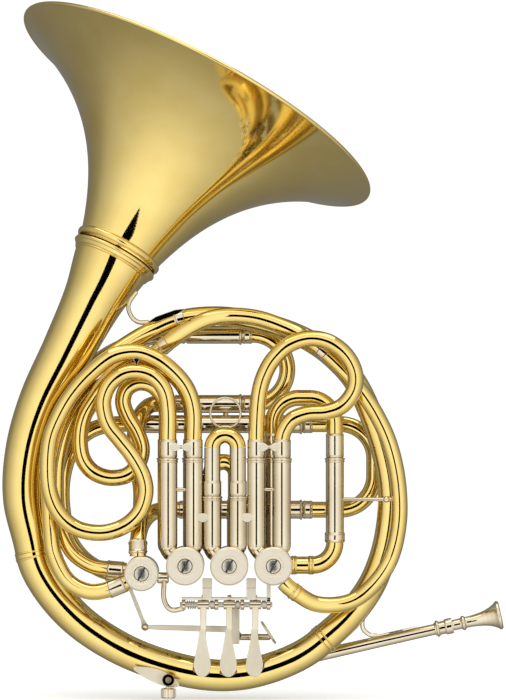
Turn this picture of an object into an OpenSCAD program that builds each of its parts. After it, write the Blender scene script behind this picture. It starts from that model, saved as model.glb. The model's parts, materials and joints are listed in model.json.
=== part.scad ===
// Full double french horn: lacquered brass body with nickel-silver slides, valves and levers.
// The origin is the axis of the middle rotor. +X points to the mouthpiece, +Z to the bell,
// and -Y to the side that shows the valve caps.

/* [Tubing] */
// Outer radius of the cylindrical tubing
tube_r = 6.4; // [6:0.1:6.4]
// Wall of the bent tubing
tube_wall = 0.5; // [0.4:0.1:1]
// Radial play of an inner slide leg in its socket
slide_play = 0.05; // [0.02:0.01:0.1]
// Outer radius of the slide sockets
socket_r = 7.2; // [7:0.1:7.2]

/* [Bell] */
// Radius of the bell's rim
bell_rim_r = 155; // [140:1:160]
// Length of the detachable bell flare along its axis
bell_length = 138; // [128:1:142]
// Radius of the bell where it meets the tail
bell_throat_r = 32.3; // [31:0.1:33]
// Wall of the bell
bell_wall = 0.8; // [0.5:0.1:1.2]

/* [Valves] */
// Distance between the rotor axes
valve_pitch = 34.7; // [33:0.1:36]
// Outer radius of a rotor casing
casing_r = 14.9; // [14:0.1:15]
// Wall of a rotor casing
casing_wall = 2; // [1.5:0.1:2.5]
// Outer radius of the change valve's casing
change_r = 13.4; // [13:0.1:14]

/* [Levers] */
// Length of a finger lever from its axle to the end of its paddle
lever_length = 57; // [50:1:60]
// Width of a finger paddle
paddle_w = 14.6; // [12:0.2:15]

/* [Hidden] */

brass = "#d8b45a";
nickel = "#d9d0bc";
steel = "#b8b8b8";
round_fn = 48;
small_fn = 24;
sides = 8;          // sides of a swept tube
eps = 0.01;

// Depths of the layers, front to back
front_y = -11;      // slides of the F side
rear_y = 4.2;       // slides of the B flat side
far_y = 36;         // the two long tuning slides
casing_y0 = -20;
casing_y1 = 25;
cap_h = 4;
plate_h = 3.5;
arm_y = 31;         // back face of the plates to the stop arms

// Rotor axes in X and Z
valve_1 = [valve_pitch, 0];
valve_2 = [0, 0];
valve_3 = [-valve_pitch, 0];
change_at = [-2 * valve_pitch + 0.4, -6];
rotor_play = 0.05;
bore_r = tube_r - tube_wall;

// Slide heights
long_mouth = 85;    // mouths of the long valve sockets
long_top = 98;      // where their crooks begin
f2_mouth = 55;
b2_mouth = 40;
ferrule_r = 7.1;
collar_r = 7.4;

// Bell axis
bell_foot = [-90, 36, 246];
bell_dir = [0.4583, 0.2161, 0.8621];
bell_tilt = acos(bell_dir[2]);
bell_turn = atan2(bell_dir[1], bell_dir[0]);

// ---------------------------------------------------------------- swept tubes

function unit(v) = v / norm(v);
function xyz(p) = [p[0], p[1], p[2]];
function at_y(points, y, r = tube_r) = [for (p = points) [p[0], y, p[1], r]];
function with_r(points, r = tube_r) = [for (p = points) [p[0], p[1], p[2], r]];

// Adds an end point before and after a route, so that the curve leaves along start and arrives along finish
function with_ends(points, start, finish) = let (
    n = len(points),
    first = norm(xyz(points[1]) - xyz(points[0])),
    last = norm(xyz(points[n - 1]) - xyz(points[n - 2])),
    before = xyz(points[1]) - 2 * first * unit(start),
    after = xyz(points[n - 2]) + 2 * last * unit(finish)
) concat(
    [[before[0], before[1], before[2], points[0][3]]],
    points,
    [[after[0], after[1], after[2], points[n - 1][3]]]
);

function spline(a, b, c, d, u) = 0.5 * (
    2 * b + (c - a) * u + (2 * a - 5 * b + 4 * c - d) * u * u + (3 * b - a - 3 * c + d) * u * u * u
);
function slope(a, b, c, d, u) = xyz(
    0.5 * ((c - a) + 2 * (2 * a - 5 * b + 4 * c - d) * u + 3 * (3 * b - a - 3 * c + d) * u * u)
);

// A hollow tube along a route of [x, y, z, radius] points
module swept_tube(route, start, finish, wall = tube_wall, steps = 2) {
    c = with_ends(route, start, finish);
    last = len(c) - 3;
    stations = concat(
        [for (i = [1:last]) for (s = [0:steps - 1])
            let (u = s / steps)
            [spline(c[i - 1], c[i], c[i + 1], c[i + 2], u), unit(slope(c[i - 1], c[i], c[i + 1], c[i + 2], u))]],
        [[c[last + 1], unit(slope(c[last - 1], c[last], c[last + 1], c[last + 2], 1))]]
    );
    n = len(stations);
    points = [
        for (w = [0, wall]) for (s = stations)
            let (side = unit(cross(s[1], [0, 1, 0])), up = cross(side, s[1]), r = s[0][3] - w)
            for (k = [0:sides - 1])
                xyz(s[0]) + r * (cos(360 * k / sides) * side + sin(360 * k / sides) * up)
    ];
    inner = n * sides;
    quads = concat(
        [for (i = [0:n - 2]) for (k = [0:sides - 1]) let (j = (k + 1) % sides)
            [i * sides + k, i * sides + j, (i + 1) * sides + j, (i + 1) * sides + k]],
        [for (i = [0:n - 2]) for (k = [0:sides - 1]) let (j = (k + 1) % sides)
            [inner + i * sides + j, inner + i * sides + k, inner + (i + 1) * sides + k, inner + (i + 1) * sides + j]],
        [for (k = [0:sides - 1]) let (j = (k + 1) % sides) [j, k, inner + k, inner + j]],
        [for (k = [0:sides - 1]) let (j = (k + 1) % sides, e = (n - 1) * sides)
            [e + k, e + j, inner + e + j, inner + e + k]]
    );
    faces = [for (q = quads) for (half = [[q[0], q[1], q[2]], [q[0], q[2], q[3]]]) half];
    polyhedron(points, faces);
}

// ---------------------------------------------------------------- exact tubes

module pipe(h, r, bore) {
    difference() {
        cylinder(h = h, r = r, $fn = round_fn);
        translate([0, 0, -1]) cylinder(h = h + 2, r = bore, $fn = round_fn);
    }
}

module along_x() rotate([0, 90, 0]) children();
module along_y() rotate([-90, 0, 0]) children();

// A bend in the XZ plane: centre, bend radius, first angle from +X towards +Z, and how far it turns
module bend(centre, y, bend_r, from, turn, r = tube_r, wall = tube_wall) {
    translate([centre[0], y, centre[1]]) rotate([90, 0, 0]) rotate([0, 0, from])
        rotate_extrude(angle = turn, $fn = round_fn) translate([bend_r, 0]) difference() {
            circle(r = r, $fn = small_fn);
            circle(r = r - wall, $fn = small_fn);
        }
}

// ---------------------------------------------------------------- bell

flare_reach = 132;
flare_focus = 287;
flare_power = ln(bell_rim_r / bell_throat_r) / ln(flare_focus / (flare_focus - flare_reach));
function flare_r(u) = bell_throat_r * pow(flare_focus / (flare_focus - u), flare_power);
function flare_z(u) = u * bell_length / flare_reach;
flare_stations = [0.4, 25, 45, 62, 76, 88, 98, 106, 113, 119, 124, 128, 131, 132];

module on_bell_axis() translate(bell_foot) rotate([0, bell_tilt, bell_turn]) children();

module bell_flare() color(brass) on_bell_axis() rotate_extrude($fn = 96) polygon(concat(
    [for (u = flare_stations) [flare_r(u), flare_z(u)]],
    [for (i = [len(flare_stations) - 1:-1:0]) let (u = flare_stations[i])
        [flare_r(u) - bell_wall * (1 + pow(u / flare_reach, 6)), flare_z(u)]]
));

rim_wire_r = 2.2;
module bell_rim_wire() color(brass) on_bell_axis() translate([0, 0, bell_length + rim_wire_r + 0.05])
    rotate_extrude($fn = 96) translate([bell_rim_r - 1, 0]) circle(r = rim_wire_r, $fn = small_fn);

ring_bead_r = 2.6;
module bell_ring() color(brass) on_bell_axis() {
    translate([0, 0, 0.3]) pipe(7, bell_throat_r + 2.2, bell_throat_r + 1.6);
    translate([0, 0, 3]) rotate_extrude($fn = 96) translate([bell_throat_r + 2.2, 0]) circle(r = ring_bead_r, $fn = small_fn);
}

module tail_collar() color(brass) on_bell_axis() {
    translate([0, 0, -11]) pipe(11, bell_throat_r + 1.4, bell_throat_r + 0.1);
    translate([0, 0, -9]) rotate_extrude($fn = 96) translate([bell_throat_r + 1.4, 0]) circle(r = 1.5, $fn = small_fn);
}

// ---------------------------------------------------------------- conical tubes

tail_route = [
    [-90, 36, 246, 32.3], [-108.5, 28.5, 209, 24.3], [-128, 26, 170, 20.8], [-148, 26, 130, 18.8],
    [-160, 25, 91, 17.6], [-163, 23, 52, 16.5], [-155, 21, 11, 15]
];
bottom_route = [
    [-155, 21, 11, 15], [-142, 19, -19, 14.3], [-115, 16.5, -48, 13.7], [-76, 14.5, -71, 13.2],
    [-30, 14, -85, 12.8], [8, 14, -87, 12.4], [44, 14, -77.5, 12], [72, 14.5, -61, 11.7]
];
ring_bow_route = [
    [72, 14.5, -61, 11.7], [95, 15, -40, 11.4], [112, 16.5, -17, 11.1], [122, 18.5, 8, 10.7],
    [127, 19, 35, 10.4], [127.5, 19, 60, 10.1], [123, 19, 86, 9.8], [114, 19, 114, 9.5],
    [100, 19.5, 144, 9.2], [82, 20, 164, 8.9], [62, 20, 178, 8.7], [38, 20.5, 188, 8.5],
    [14, 22, 194, 8], [-10, 23, 197, 7.6], [-36, 23, 195, 7.3]
];
first_branch_route = [
    [-36, 23, 195, 7.3], [-60, 23, 186, 7.1], [-83, 20, 173, 6.9], [-104, 15, 157, 6.7],
    [-120, 9, 140, 6.5], [-131, 2.5, 121, 6.4], [-138, 2.3, 102, 6.4], [-142, 2.3, 82, 6.4],
    [-143, 2.3, 62, 6.4], [-142, 2.3, 45, 6.4], [-141, 0, 28, 6.4], [-138, -3, 8, 6.4],
    [-127, -6, -12, 6.4], [-110, -8.5, -20.5, 6.4], [-93, -10.5, -18, 6.4], [-80.5, -11, -12.5, 6.4]
];
tail_joint_dir = [0.15, -0.06, -1];
bow_joint_dir = [0.75, 0.03, 0.65];
top_joint_dir = [-1, -0.02, -0.2];

module bell_tail() color(brass) swept_tube(tail_route, -bell_dir, tail_joint_dir, 0.8, 3);
module bottom_bow() color(brass) swept_tube(bottom_route, tail_joint_dir, bow_joint_dir, 0.7);
module ring_bow() color(brass) swept_tube(ring_bow_route, bow_joint_dir, top_joint_dir, 0.6);
module first_branch() color(brass) swept_tube(first_branch_route, top_joint_dir, [0.9, 0, 0.45]);

// ---------------------------------------------------------------- ring tubes and returns

valve_ring_route = with_r([
    [43, -11, -13], [55, -9, -23], [68, -6, -30], [84, -4, -31], [99, -3, -27], [112, -2.5, -17],
    [123, -1, -3], [130, 1, 13], [134, 2, 35], [134, 2, 57], [131, 2, 79], [125, 2, 100],
    [116, 2, 119], [105, 2.5, 136], [91, 3, 153], [73, 3, 170], [55, 3, 182], [38, 3, 190],
    [20, 3, 195.5], [1, 4, 197], [-16, 6, 194.5], [-32, 9, 187], [-48, 13, 176]
]);
inner_branch_route = with_r([
    [-48, 13, 176], [-62, 17.5, 165], [-78, 19, 154], [-94, 18, 146], [-107, 18, 138], [-118, 18, 127],
    [-126, 17.5, 113], [-132, 17, 98], [-136, 17, 80], [-137, 16.5, 62], [-136, 14, 44],
    [-132, 11, 26], [-124, 8, 10], [-110, 6, 0], [-95, 4.5, -3], [-81, 4.2, -4]
]);
ring_joint_dir = [-0.82, 0.2, -0.57];
module valve_ring() color(brass) swept_tube(valve_ring_route, [0.6, 0, -0.8], ring_joint_dir);
module inner_branch() color(brass) swept_tube(inner_branch_route, ring_joint_dir, [1, 0, 0]);

leadpipe_route = [
    [163, 34, -52, 4.4], [130, 34, -59.3, 4.6], [97, 34, -66.7, 4.8], [64, 34, -74, 5], [30, 34.5, -80.5, 5.2],
    [-5, 34.5, -83, 5.4], [-40, 35, -79, 5.6], [-75, 37, -67, 5.8], [-108, 40, -47, 6], [-133, 43.5, -18, 6.2],
    [-149, 46.5, 15, 6.4], [-155, 48.5, 50, 6.4], [-152, 50, 85, 6.4], [-142, 51, 115, 6.4],
    [-124, 50, 143, 6.4], [-99, 44, 165, 6.4], [-70, 38, 178, 6.4], [-48, 36, 182, 6.4], [-34, 36, 182, 6.4]
];
leadpipe_dir = [0.976, 0, 0.216];
module leadpipe() color(nickel) swept_tube(leadpipe_route, -leadpipe_dir, [1, 0, 0]);

tuning_return_route = with_r([
    [-34, 36, 127], [-50, 36, 127], [-63, 32, 126], [-71, 23, 117], [-75, 19, 101], [-73, 18.5, 80],
    [-70, 16, 60], [-70, 11, 44], [-71, 2, 30], [-72, -7, 18], [-72, -10.5, 7.5]
]);
extension_return_route = with_r([
    [-70, 36, 111], [-90, 36, 111], [-108, 36, 107], [-121, 35.5, 97], [-129, 34.5, 82], [-133, 33, 62],
    [-132, 32, 40], [-127, 29, 20], [-116, 25, 5], [-102, 20.5, -4], [-90, 18.2, -7], [-81, 18, -7]
]);
extension_feed_route = with_r([
    [-40, 36, 43], [-52, 35, 43], [-62, 31, 40], [-69, 22, 32], [-72, 12, 21], [-72, 5.5, 13], [-72, 4.2, 7.5]
]);
module tuning_return() color(brass) swept_tube(tuning_return_route, [-1, 0, 0], [0, 0, -1]);
module extension_return() color(brass) swept_tube(extension_return_route, [-1, 0, 0], [1, 0, 0]);
module extension_feed() color(brass) swept_tube(extension_feed_route, [-1, 0, 0], [0, 0, -1]);

// ---------------------------------------------------------------- mouthpiece and receiver

receiver_foot = [163, 34, -52];
leadpipe_tilt = 90 - atan2(leadpipe_dir[2], leadpipe_dir[0]);
receiver_length = 14.5;
module on_leadpipe_axis() translate(receiver_foot) rotate([0, leadpipe_tilt, 0]) children();

module mouthpiece_receiver() color(nickel) on_leadpipe_axis() difference() {
    union() {
        translate([0, 0, 0.1]) cylinder(h = receiver_length, r = 6.1, $fn = round_fn);
        translate([0, 0, 1.8]) rotate_extrude($fn = round_fn) translate([6.1, 0]) circle(r = 0.8, $fn = small_fn);
    }
    translate([0, 0, -1]) cylinder(h = receiver_length + 3, r = 4.15, $fn = round_fn);
}

shank_in = 10;      // how far the shank sits in the receiver
mouthpiece_profile = [
    [2.3, -shank_in], [4.05, -shank_in], [4.05, 0.5], [4.2, 1], [4.4, 8], [5.1, 8.8], [5.1, 10], [4.4, 10.8],
    [4.7, 18], [5.6, 25], [7.2, 30.5], [9.4, 34.5], [10.9, 36.6], [11.2, 38], [10.4, 39.4], [9.4, 39.6],
    [8.8, 38.6], [7.6, 35], [5.4, 29], [3.2, 22], [2.2, 14], [2.2, 2]
];
module mouthpiece() color(nickel) on_leadpipe_axis() translate([0, 0, receiver_length])
    rotate_extrude($fn = round_fn) polygon(mouthpiece_profile);

// ---------------------------------------------------------------- valves

module on_valve(at, y) translate([at[0], y, at[1]]) along_y() children();

// Ports are drilled from the outside towards the rotor: [x offset, y, angle from +X towards +Z]
module casing(at, r, ports) color(nickel) difference() {
    on_valve(at, casing_y0) pipe(casing_y1 - casing_y0, r, r - casing_wall);
    for (p = ports) translate([at[0] + p[0], p[1], at[1]]) rotate([0, 90 - p[2], 0])
        cylinder(h = r + 2, r = 4.6, $fn = round_fn);
}
side_x = 6.8;
module casing_1() casing(valve_1, casing_r, [[side_x, front_y, 90], [0, rear_y, 90], [0, rear_y, 0]]);
module casing_2() casing(valve_2, casing_r, [[side_x, front_y, 90], [side_x, rear_y, 90]]);
module casing_3() casing(valve_3, casing_r, [[side_x, front_y, 90], [side_x, rear_y, 90]]);
module change_casing() casing(change_at, change_r, [[0, front_y, 90], [0, rear_y, 90], [0, rear_y, 180]]);

valves = [[valve_1, casing_r], [valve_2, casing_r], [valve_3, casing_r], [change_at, change_r]];

module valve_caps() color(nickel) for (v = valves) on_valve(v[0], casing_y0 - cap_h) difference() {
    cylinder(h = cap_h, r = v[1], $fn = round_fn);
    translate([0, 0, -1]) cylinder(h = cap_h + 2, r = 5.9, $fn = round_fn);
}

module cap_screws() color(steel) for (v = valves) on_valve(v[0], casing_y0 - cap_h + 0.8) difference() {
    cylinder(h = cap_h - 1, r = 5.6, $fn = round_fn);
    rotate([0, 0, -62]) translate([-6, -0.8, -1]) cube([12, 1.6, 2.2]);
}

shaft_r = 2.5;
module back_plates() color(nickel) for (v = valves) on_valve(v[0], casing_y1 + 0.02) {
    difference() {
        cylinder(h = plate_h, r = v[1], $fn = round_fn);
        translate([0, 0, -1]) cylinder(h = plate_h + 2, r = shaft_r + rotor_play, $fn = round_fn);
    }
    for (a = [290, 350]) rotate([0, 0, a]) translate([v[1] - 3, 0, plate_h]) cylinder(h = 3.4, r = 2, $fn = small_fn);
}

// A rotor with one curved passage for each tube level, on a shaft that comes out of the back plate
module rotor(at, r) color(brass) on_valve(at, casing_y0 + 0.2) difference() {
    union() {
        cylinder(h = casing_y1 - casing_y0 - 0.4, r = r, $fn = round_fn);
        cylinder(h = casing_y1 - casing_y0 + plate_h + 6, r = shaft_r, $fn = round_fn);
    }
    for (y = [front_y, rear_y]) for (side = [-1, 1])
        translate([side * 11, 0, y - casing_y0]) rotate([90, 0, 0])
            cylinder(h = 60, r = 5.6, center = true, $fn = round_fn);
}
rotor_r = casing_r - casing_wall - rotor_play;
module rotor_1() rotor(valve_1, rotor_r);
module rotor_2() rotor(valve_2, rotor_r);
module rotor_3() rotor(valve_3, rotor_r);
module change_rotor() rotor(change_at, change_r - casing_wall - rotor_play);

// A stop arm on the rotor's shaft: a hub and a lever that points down
module stop_arm(at, reach, angle) color(nickel) on_valve(at, casing_y1 + plate_h + 1) difference() {
    rotate([0, 0, angle]) union() {
        cylinder(h = 5, r = 5, $fn = round_fn);
        translate([0, -2.2, 0]) cube([reach, 4.4, 3]);
        translate([reach, 0, 0]) cylinder(h = 5.5, r = 2.8, $fn = round_fn);
    }
    translate([0, 0, -1]) cylinder(h = 8, r = shaft_r, $fn = round_fn);
}
module stop_arm_1() stop_arm(valve_1, 8, 60);
module stop_arm_2() stop_arm(valve_2, 8, 60);
module stop_arm_3() stop_arm(valve_3, 8, 60);
module change_stop_arm() stop_arm(change_at, 15.6, 135);

// ---------------------------------------------------------------- slide sockets

// One upright socket: a sliding bore above, a rounded knuckle below where it meets the casing
module socket(x, y, foot, mouth, valve, valve_r) color(nickel) difference() {
    union() {
        translate([x, y, foot]) cylinder(h = mouth - foot, r = socket_r, $fn = round_fn);
        translate([x, y, mouth - 2.4]) cylinder(h = 2.4, r = collar_r, $fn = round_fn);
        translate([x, y, foot]) sphere(r = 6.9, $fn = round_fn);
    }
    translate([x, y, foot + 7]) cylinder(h = mouth - foot, r = tube_r + slide_play, $fn = round_fn);
    translate([x, y, foot]) cylinder(h = 10, r = bore_r - 1, $fn = round_fn);
    translate([valve[0], casing_y0 - 10, valve[1]]) along_y() cylinder(h = 80, r = valve_r + eps, $fn = round_fn);
}
knuckle_z = 9;
f_legs = [-13.3, 6.7];
b_legs = [-14.8, 5.2];
b1_left = 34.5;
b1_right = 83.3;
elbow_r = 18;
b1_mouth = 85;

module valve_1_sockets() {
    for (dx = f_legs) socket(valve_1[0] + dx, front_y, knuckle_z, long_mouth, valve_1, casing_r);
    socket(b1_left, rear_y, knuckle_z + 3, b1_mouth, valve_1, casing_r);
    color(nickel) translate([b1_right, rear_y, elbow_r]) {
        pipe(b1_mouth - elbow_r, socket_r, tube_r + slide_play);
        translate([0, 0, b1_mouth - elbow_r - 2.4]) pipe(2.4, collar_r, tube_r + slide_play);
    }
    color(brass) bend([b1_right - elbow_r, elbow_r], rear_y, elbow_r, -90, 90, socket_r - 0.4, 1);
    color(brass) difference() {
        translate([valve_1[0], rear_y, 0]) along_x() pipe(b1_right - elbow_r - valve_1[0], socket_r - 0.4, socket_r - 1.4);
        on_valve(valve_1, -30) cylinder(h = 80, r = casing_r + eps, $fn = round_fn);
    }
}
module valve_2_sockets() {
    for (dx = f_legs) socket(dx, front_y, knuckle_z, f2_mouth, valve_2, casing_r);
    for (dx = b_legs) socket(dx, rear_y, knuckle_z, b2_mouth, valve_2, casing_r);
}
module valve_3_sockets() {
    for (dx = f_legs) socket(valve_3[0] + dx, front_y, knuckle_z, long_mouth, valve_3, casing_r);
    for (dx = b_legs) socket(valve_3[0] + dx, rear_y, knuckle_z, long_mouth, valve_3, casing_r);
}

// Two level sockets, one above the other, that open towards +X
module level_sockets(x0, x1, heights) color(nickel) for (z = heights) translate([0, far_y, z]) {
    translate([x0[z == heights[0] ? 0 : 1], 0, 0]) along_x()
        pipe(x1 - x0[z == heights[0] ? 0 : 1], socket_r, tube_r + slide_play);
    translate([x1 - 2.4, 0, 0]) along_x() pipe(2.4, collar_r, tube_r + slide_play);
}
tuning_z = [182, 127];
extension_z = [111, 43];
tuning_mouth = 10;
extension_mouth = 58;
module tuning_sockets() level_sockets([-34, -34], tuning_mouth, tuning_z);
module extension_sockets() level_sockets([-70, -40], extension_mouth, extension_z);

// ---------------------------------------------------------------- slides

// Straight inner legs of an upright slide, with the ferrule that rests on the socket's mouth
module upright_legs(xs, y, mouth, top, depth) color(nickel) for (x = xs) translate([x, y, 0]) {
    translate([0, 0, mouth - depth]) pipe(top - mouth + depth, tube_r, bore_r);
    translate([0, 0, mouth + 0.02]) pipe(top - mouth - 0.02, ferrule_r, bore_r);
}
long_depth = 62;

f1_xs = [valve_1[0] + f_legs[0], valve_1[0] + f_legs[1]];
f1_route = at_y([
    [f1_xs[0], 98], [22, 120], [24, 138], [28, 151], [35, 163], [47, 174], [63, 179], [79, 176], [92, 166],
    [99, 152], [98, 138], [89, 126], [76, 121], [62, 120], [50, 115.5], [43.5, 107], [f1_xs[1], 98]
], front_y);
module f1_slide() {
    color(brass) swept_tube(f1_route, [0, 0, 1], [0, 0, -1]);
    upright_legs(f1_xs, front_y, long_mouth, long_top, long_depth);
}

module u_slide(xs, y, mouth, ferrule_top, top, depth) {
    middle = (xs[0] + xs[1]) / 2;
    color(brass) bend([middle, top], y, (xs[1] - xs[0]) / 2, 0, 180);
    color(nickel) for (x = xs) translate([x, y, 0]) {
        translate([0, 0, mouth - depth]) pipe(top - mouth + depth, tube_r, bore_r);
        translate([0, 0, mouth + 0.02]) pipe(ferrule_top - mouth - 0.02, ferrule_r, bore_r);
    }
}
f2_top = 93;
module f2_slide() u_slide(f_legs, front_y, f2_mouth, f2_mouth + 12, f2_top, 34);
module b2_slide() u_slide(b_legs, rear_y, b2_mouth, b2_mouth + 12, 71.5, 20);

f3_xs = [valve_3[0] + f_legs[0], valve_3[0] + f_legs[1]];
f3_route = at_y([
    [f3_xs[1], 98], [f3_xs[1], 122], [-33, 139], [-43, 152], [-57, 163], [-73, 168.5], [-92, 165], [-110, 151],
    [-124, 135], [-134, 118], [-141, 100], [-143, 78], [-141, 57], [-133, 40], [-119, 29], [-100, 26],
    [-83, 31], [-71, 42], [-66, 57], [-68, 71], [-76, 86], [-86, 99], [-94, 109], [-98, 119], [-99, 131],
    [-94, 143], [-84, 151], [-72, 153], [-60, 149], [-51, 138], [f3_xs[0], 122], [f3_xs[0], 98]
], front_y);
module f3_slide() {
    color(brass) swept_tube(f3_route, [0, 0, 1], [0, 0, -1]);
    color(nickel) translate([-73, front_y, 158.5]) cylinder(h = 4.5, r = 1.8, $fn = small_fn);
    upright_legs(f3_xs, front_y, long_mouth, long_top, long_depth);
}

b3_xs = [valve_3[0] + b_legs[0], valve_3[0] + b_legs[1]];
b3_route = at_y([
    [b3_xs[1], 98], [b3_xs[1], 120], [-34, 137], [-44, 150], [-58, 159], [-72, 162], [-85, 156], [-97, 145],
    [-107, 131], [-115, 117], [-118, 101], [-116, 85], [-108, 74], [-95, 69], [-81, 71], [-72, 80], [-69, 92],
    [-73, 105], [-80, 117], [-84, 129], [-81, 139], [-72, 144], [-61, 142], [-53, 133], [b3_xs[0], 120],
    [b3_xs[0], 98]
], rear_y);
module b3_slide() {
    color(brass) swept_tube(b3_route, [0, 0, 1], [0, 0, -1]);
    upright_legs(b3_xs, rear_y, long_mouth, long_top, long_depth);
}

b1_corner_r = 20;
b1_corner_z = 112;
module b1_slide() {
    color(brass) {
        bend([b1_left + b1_corner_r, b1_corner_z], rear_y, b1_corner_r, 90, 90);
        bend([b1_right - b1_corner_r, b1_corner_z], rear_y, b1_corner_r, 0, 90);
        translate([b1_left + b1_corner_r, rear_y, b1_corner_z + b1_corner_r]) along_x()
            pipe(b1_right - b1_left - 2 * b1_corner_r, tube_r, bore_r);
    }
    color(nickel) for (x = [b1_left, b1_right]) translate([x, rear_y, 0]) {
        translate([0, 0, b1_mouth - 50]) pipe(b1_corner_z - b1_mouth + 50, tube_r, bore_r);
        translate([0, 0, b1_mouth + 0.02]) pipe(20, ferrule_r, bore_r);
    }
}

// A level slide that pulls out towards +X: two legs and a bow with rounded corners
module level_slide(mouth, corner_x, corner_r, heights, depth) {
    straight = heights[0] - heights[1] - 2 * corner_r;
    color(nickel) for (z = heights) translate([mouth - depth, far_y, z]) along_x() pipe(depth, tube_r, bore_r);
    color(brass) {
        for (z = heights) translate([mouth, far_y, z]) along_x() pipe(corner_x - mouth, tube_r, bore_r);
        for (z = heights) translate([mouth + 0.02, far_y, z]) along_x() pipe(6, ferrule_r, bore_r);
        bend([corner_x, heights[0] - corner_r], far_y, corner_r, 0, 90);
        bend([corner_x, heights[1] + corner_r], far_y, corner_r, -90, 90);
        if (straight > eps)
            translate([corner_x + corner_r, far_y, heights[1] + corner_r]) pipe(straight, tube_r, bore_r);
    }
}
module tuning_slide() level_slide(tuning_mouth, 18.5, 27.5, tuning_z, 40);
module extension_slide() level_slide(extension_mouth, 88, 27, extension_z, 75);

ring_r = 12;
module pull_ring() color(nickel) translate([-3, front_y + 5.2, f2_top + 10 + tube_r + ring_r - 1.2])
    rotate([90, 0, 0]) rotate_extrude($fn = round_fn) translate([ring_r, 0]) circle(r = 0.9, $fn = small_fn);

// ---------------------------------------------------------------- braces

// A diamond flange in the XZ plane
module diamond(w, h, t) rotate([90, 0, 0]) translate([0, 0, -t / 2]) linear_extrude(height = t)
    polygon([[-w / 2, 0], [0, h / 2], [w / 2, 0], [0, -h / 2]]);

module cross_brace(x0, x1, y, z, r = 1.8) translate([x0, y, z]) along_x() cylinder(h = x1 - x0, r = r, $fn = small_fn);

module slide_braces() color(nickel) {
    socket_gap = socket_r - 0.2;
    cross_brace(valve_3[0] + f_legs[1] + socket_gap, f_legs[0] - socket_gap, front_y, 38);
    cross_brace(f_legs[1] + socket_gap, valve_1[0] + f_legs[0] - socket_gap, front_y, 38);
    cross_brace(f3_xs[0] + socket_gap, f3_xs[1] - socket_gap, front_y, 60);
    cross_brace(f1_xs[0] + socket_gap, f1_xs[1] - socket_gap, front_y, 60);
    cross_brace(-57, -47.6, rear_y, -10, 4.4);
    translate([-3, far_y, tuning_z[1] - 8]) cylinder(h = 2, r = 2.4, center = true, $fn = small_fn);
}

module rod(points, r) for (i = [0:len(points) - 2]) hull() {
    translate(points[i]) sphere(r = r, $fn = 12);
    translate(points[i + 1]) sphere(r = r, $fn = 12);
}

module bell_brace() color(nickel) {
    rod([[-74, 27, 216], [-80, 25, 206], [-78, 24, 197], [-72, 23, 192], [-64, 22, 192]], 1.8);
    translate([-50, 22, 198.2]) rotate([0, -20, 0]) cube([36, 5, 1.6], center = true);
}

module leadpipe_brace() color(nickel) {
    rod([[116, 22, -22], [111, 26, -32], [106, 30, -43], [106, 32, -51], [111, 33, -56], [118, 34, -56.8]], 1.8);
    translate([131, 34, -53.6]) rotate([0, -12.5, 0]) cube([34, 5, 2], center = true);
}

module ring_brace() color(nickel) {
    cross_brace(b1_right + socket_r - 0.2, 128, 3.5, 52);
    translate([126, 3.5, 52]) sphere(r = 2.6, $fn = small_fn);
}

// ---------------------------------------------------------------- levers

axle_at = [-2, -31];          // y and z of the finger levers' axle
axle_r = 2;
rack_x = [-38, 33];
lever_xs = [-20.5, 0, 20.5];
hub_w = 9;
paddle_lean = 17;     // the shank leans forward by this angle
paddle_y = -8.5;      // back face of the paddle from the axle

module lever_axle() color(steel) translate([rack_x[0] - 1, axle_at[0], axle_at[1]]) along_x()
    cylinder(h = rack_x[1] - rack_x[0] + 2, r = axle_r, $fn = round_fn);

// The rack's lugs stand between the hubs and hang from straps between the casings
module lever_rack() color(nickel) difference() {
    union() {
        for (x = [rack_x[0] + 2, -valve_pitch / 2 + 7.1, valve_pitch / 2 - 7.1, rack_x[1] - 2])
            translate([x, axle_at[0], axle_at[1]]) along_x() cylinder(h = 3, r = 4, center = true, $fn = round_fn);
        for (x = [rack_x[0] + 2, -valve_pitch / 2 + 7.1, valve_pitch / 2 - 7.1, rack_x[1] - 2])
            translate([x - 1.5, axle_at[0] - 3, axle_at[1]]) cube([3, 6, 5]);
        rod([[-51.5, 1, -12], [-51.5, 1, -27], [-46, 0, -35], [rack_x[0] + 2, axle_at[0], -34]], 2);
        translate([rack_x[0], axle_at[0] - 3, axle_at[1] + 4]) cube([rack_x[1] - rack_x[0], 6, 2]);
        for (x = [-valve_pitch / 2, valve_pitch / 2])
            translate([x - 3.6, axle_at[0] - 5, -27]) cube([7.2, 10, 18]);
        translate([rack_x[1] - 4, axle_at[0] - 3, -27]) cube([4, 6, 16]);
    }
    translate([rack_x[0] - 5, axle_at[0], axle_at[1]]) along_x() cylinder(h = 90, r = axle_r + 0.05, $fn = round_fn);
    for (v = [valve_1, valve_2, valve_3]) on_valve(v, -30) cylinder(h = 80, r = casing_r + eps, $fn = round_fn);
}

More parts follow.
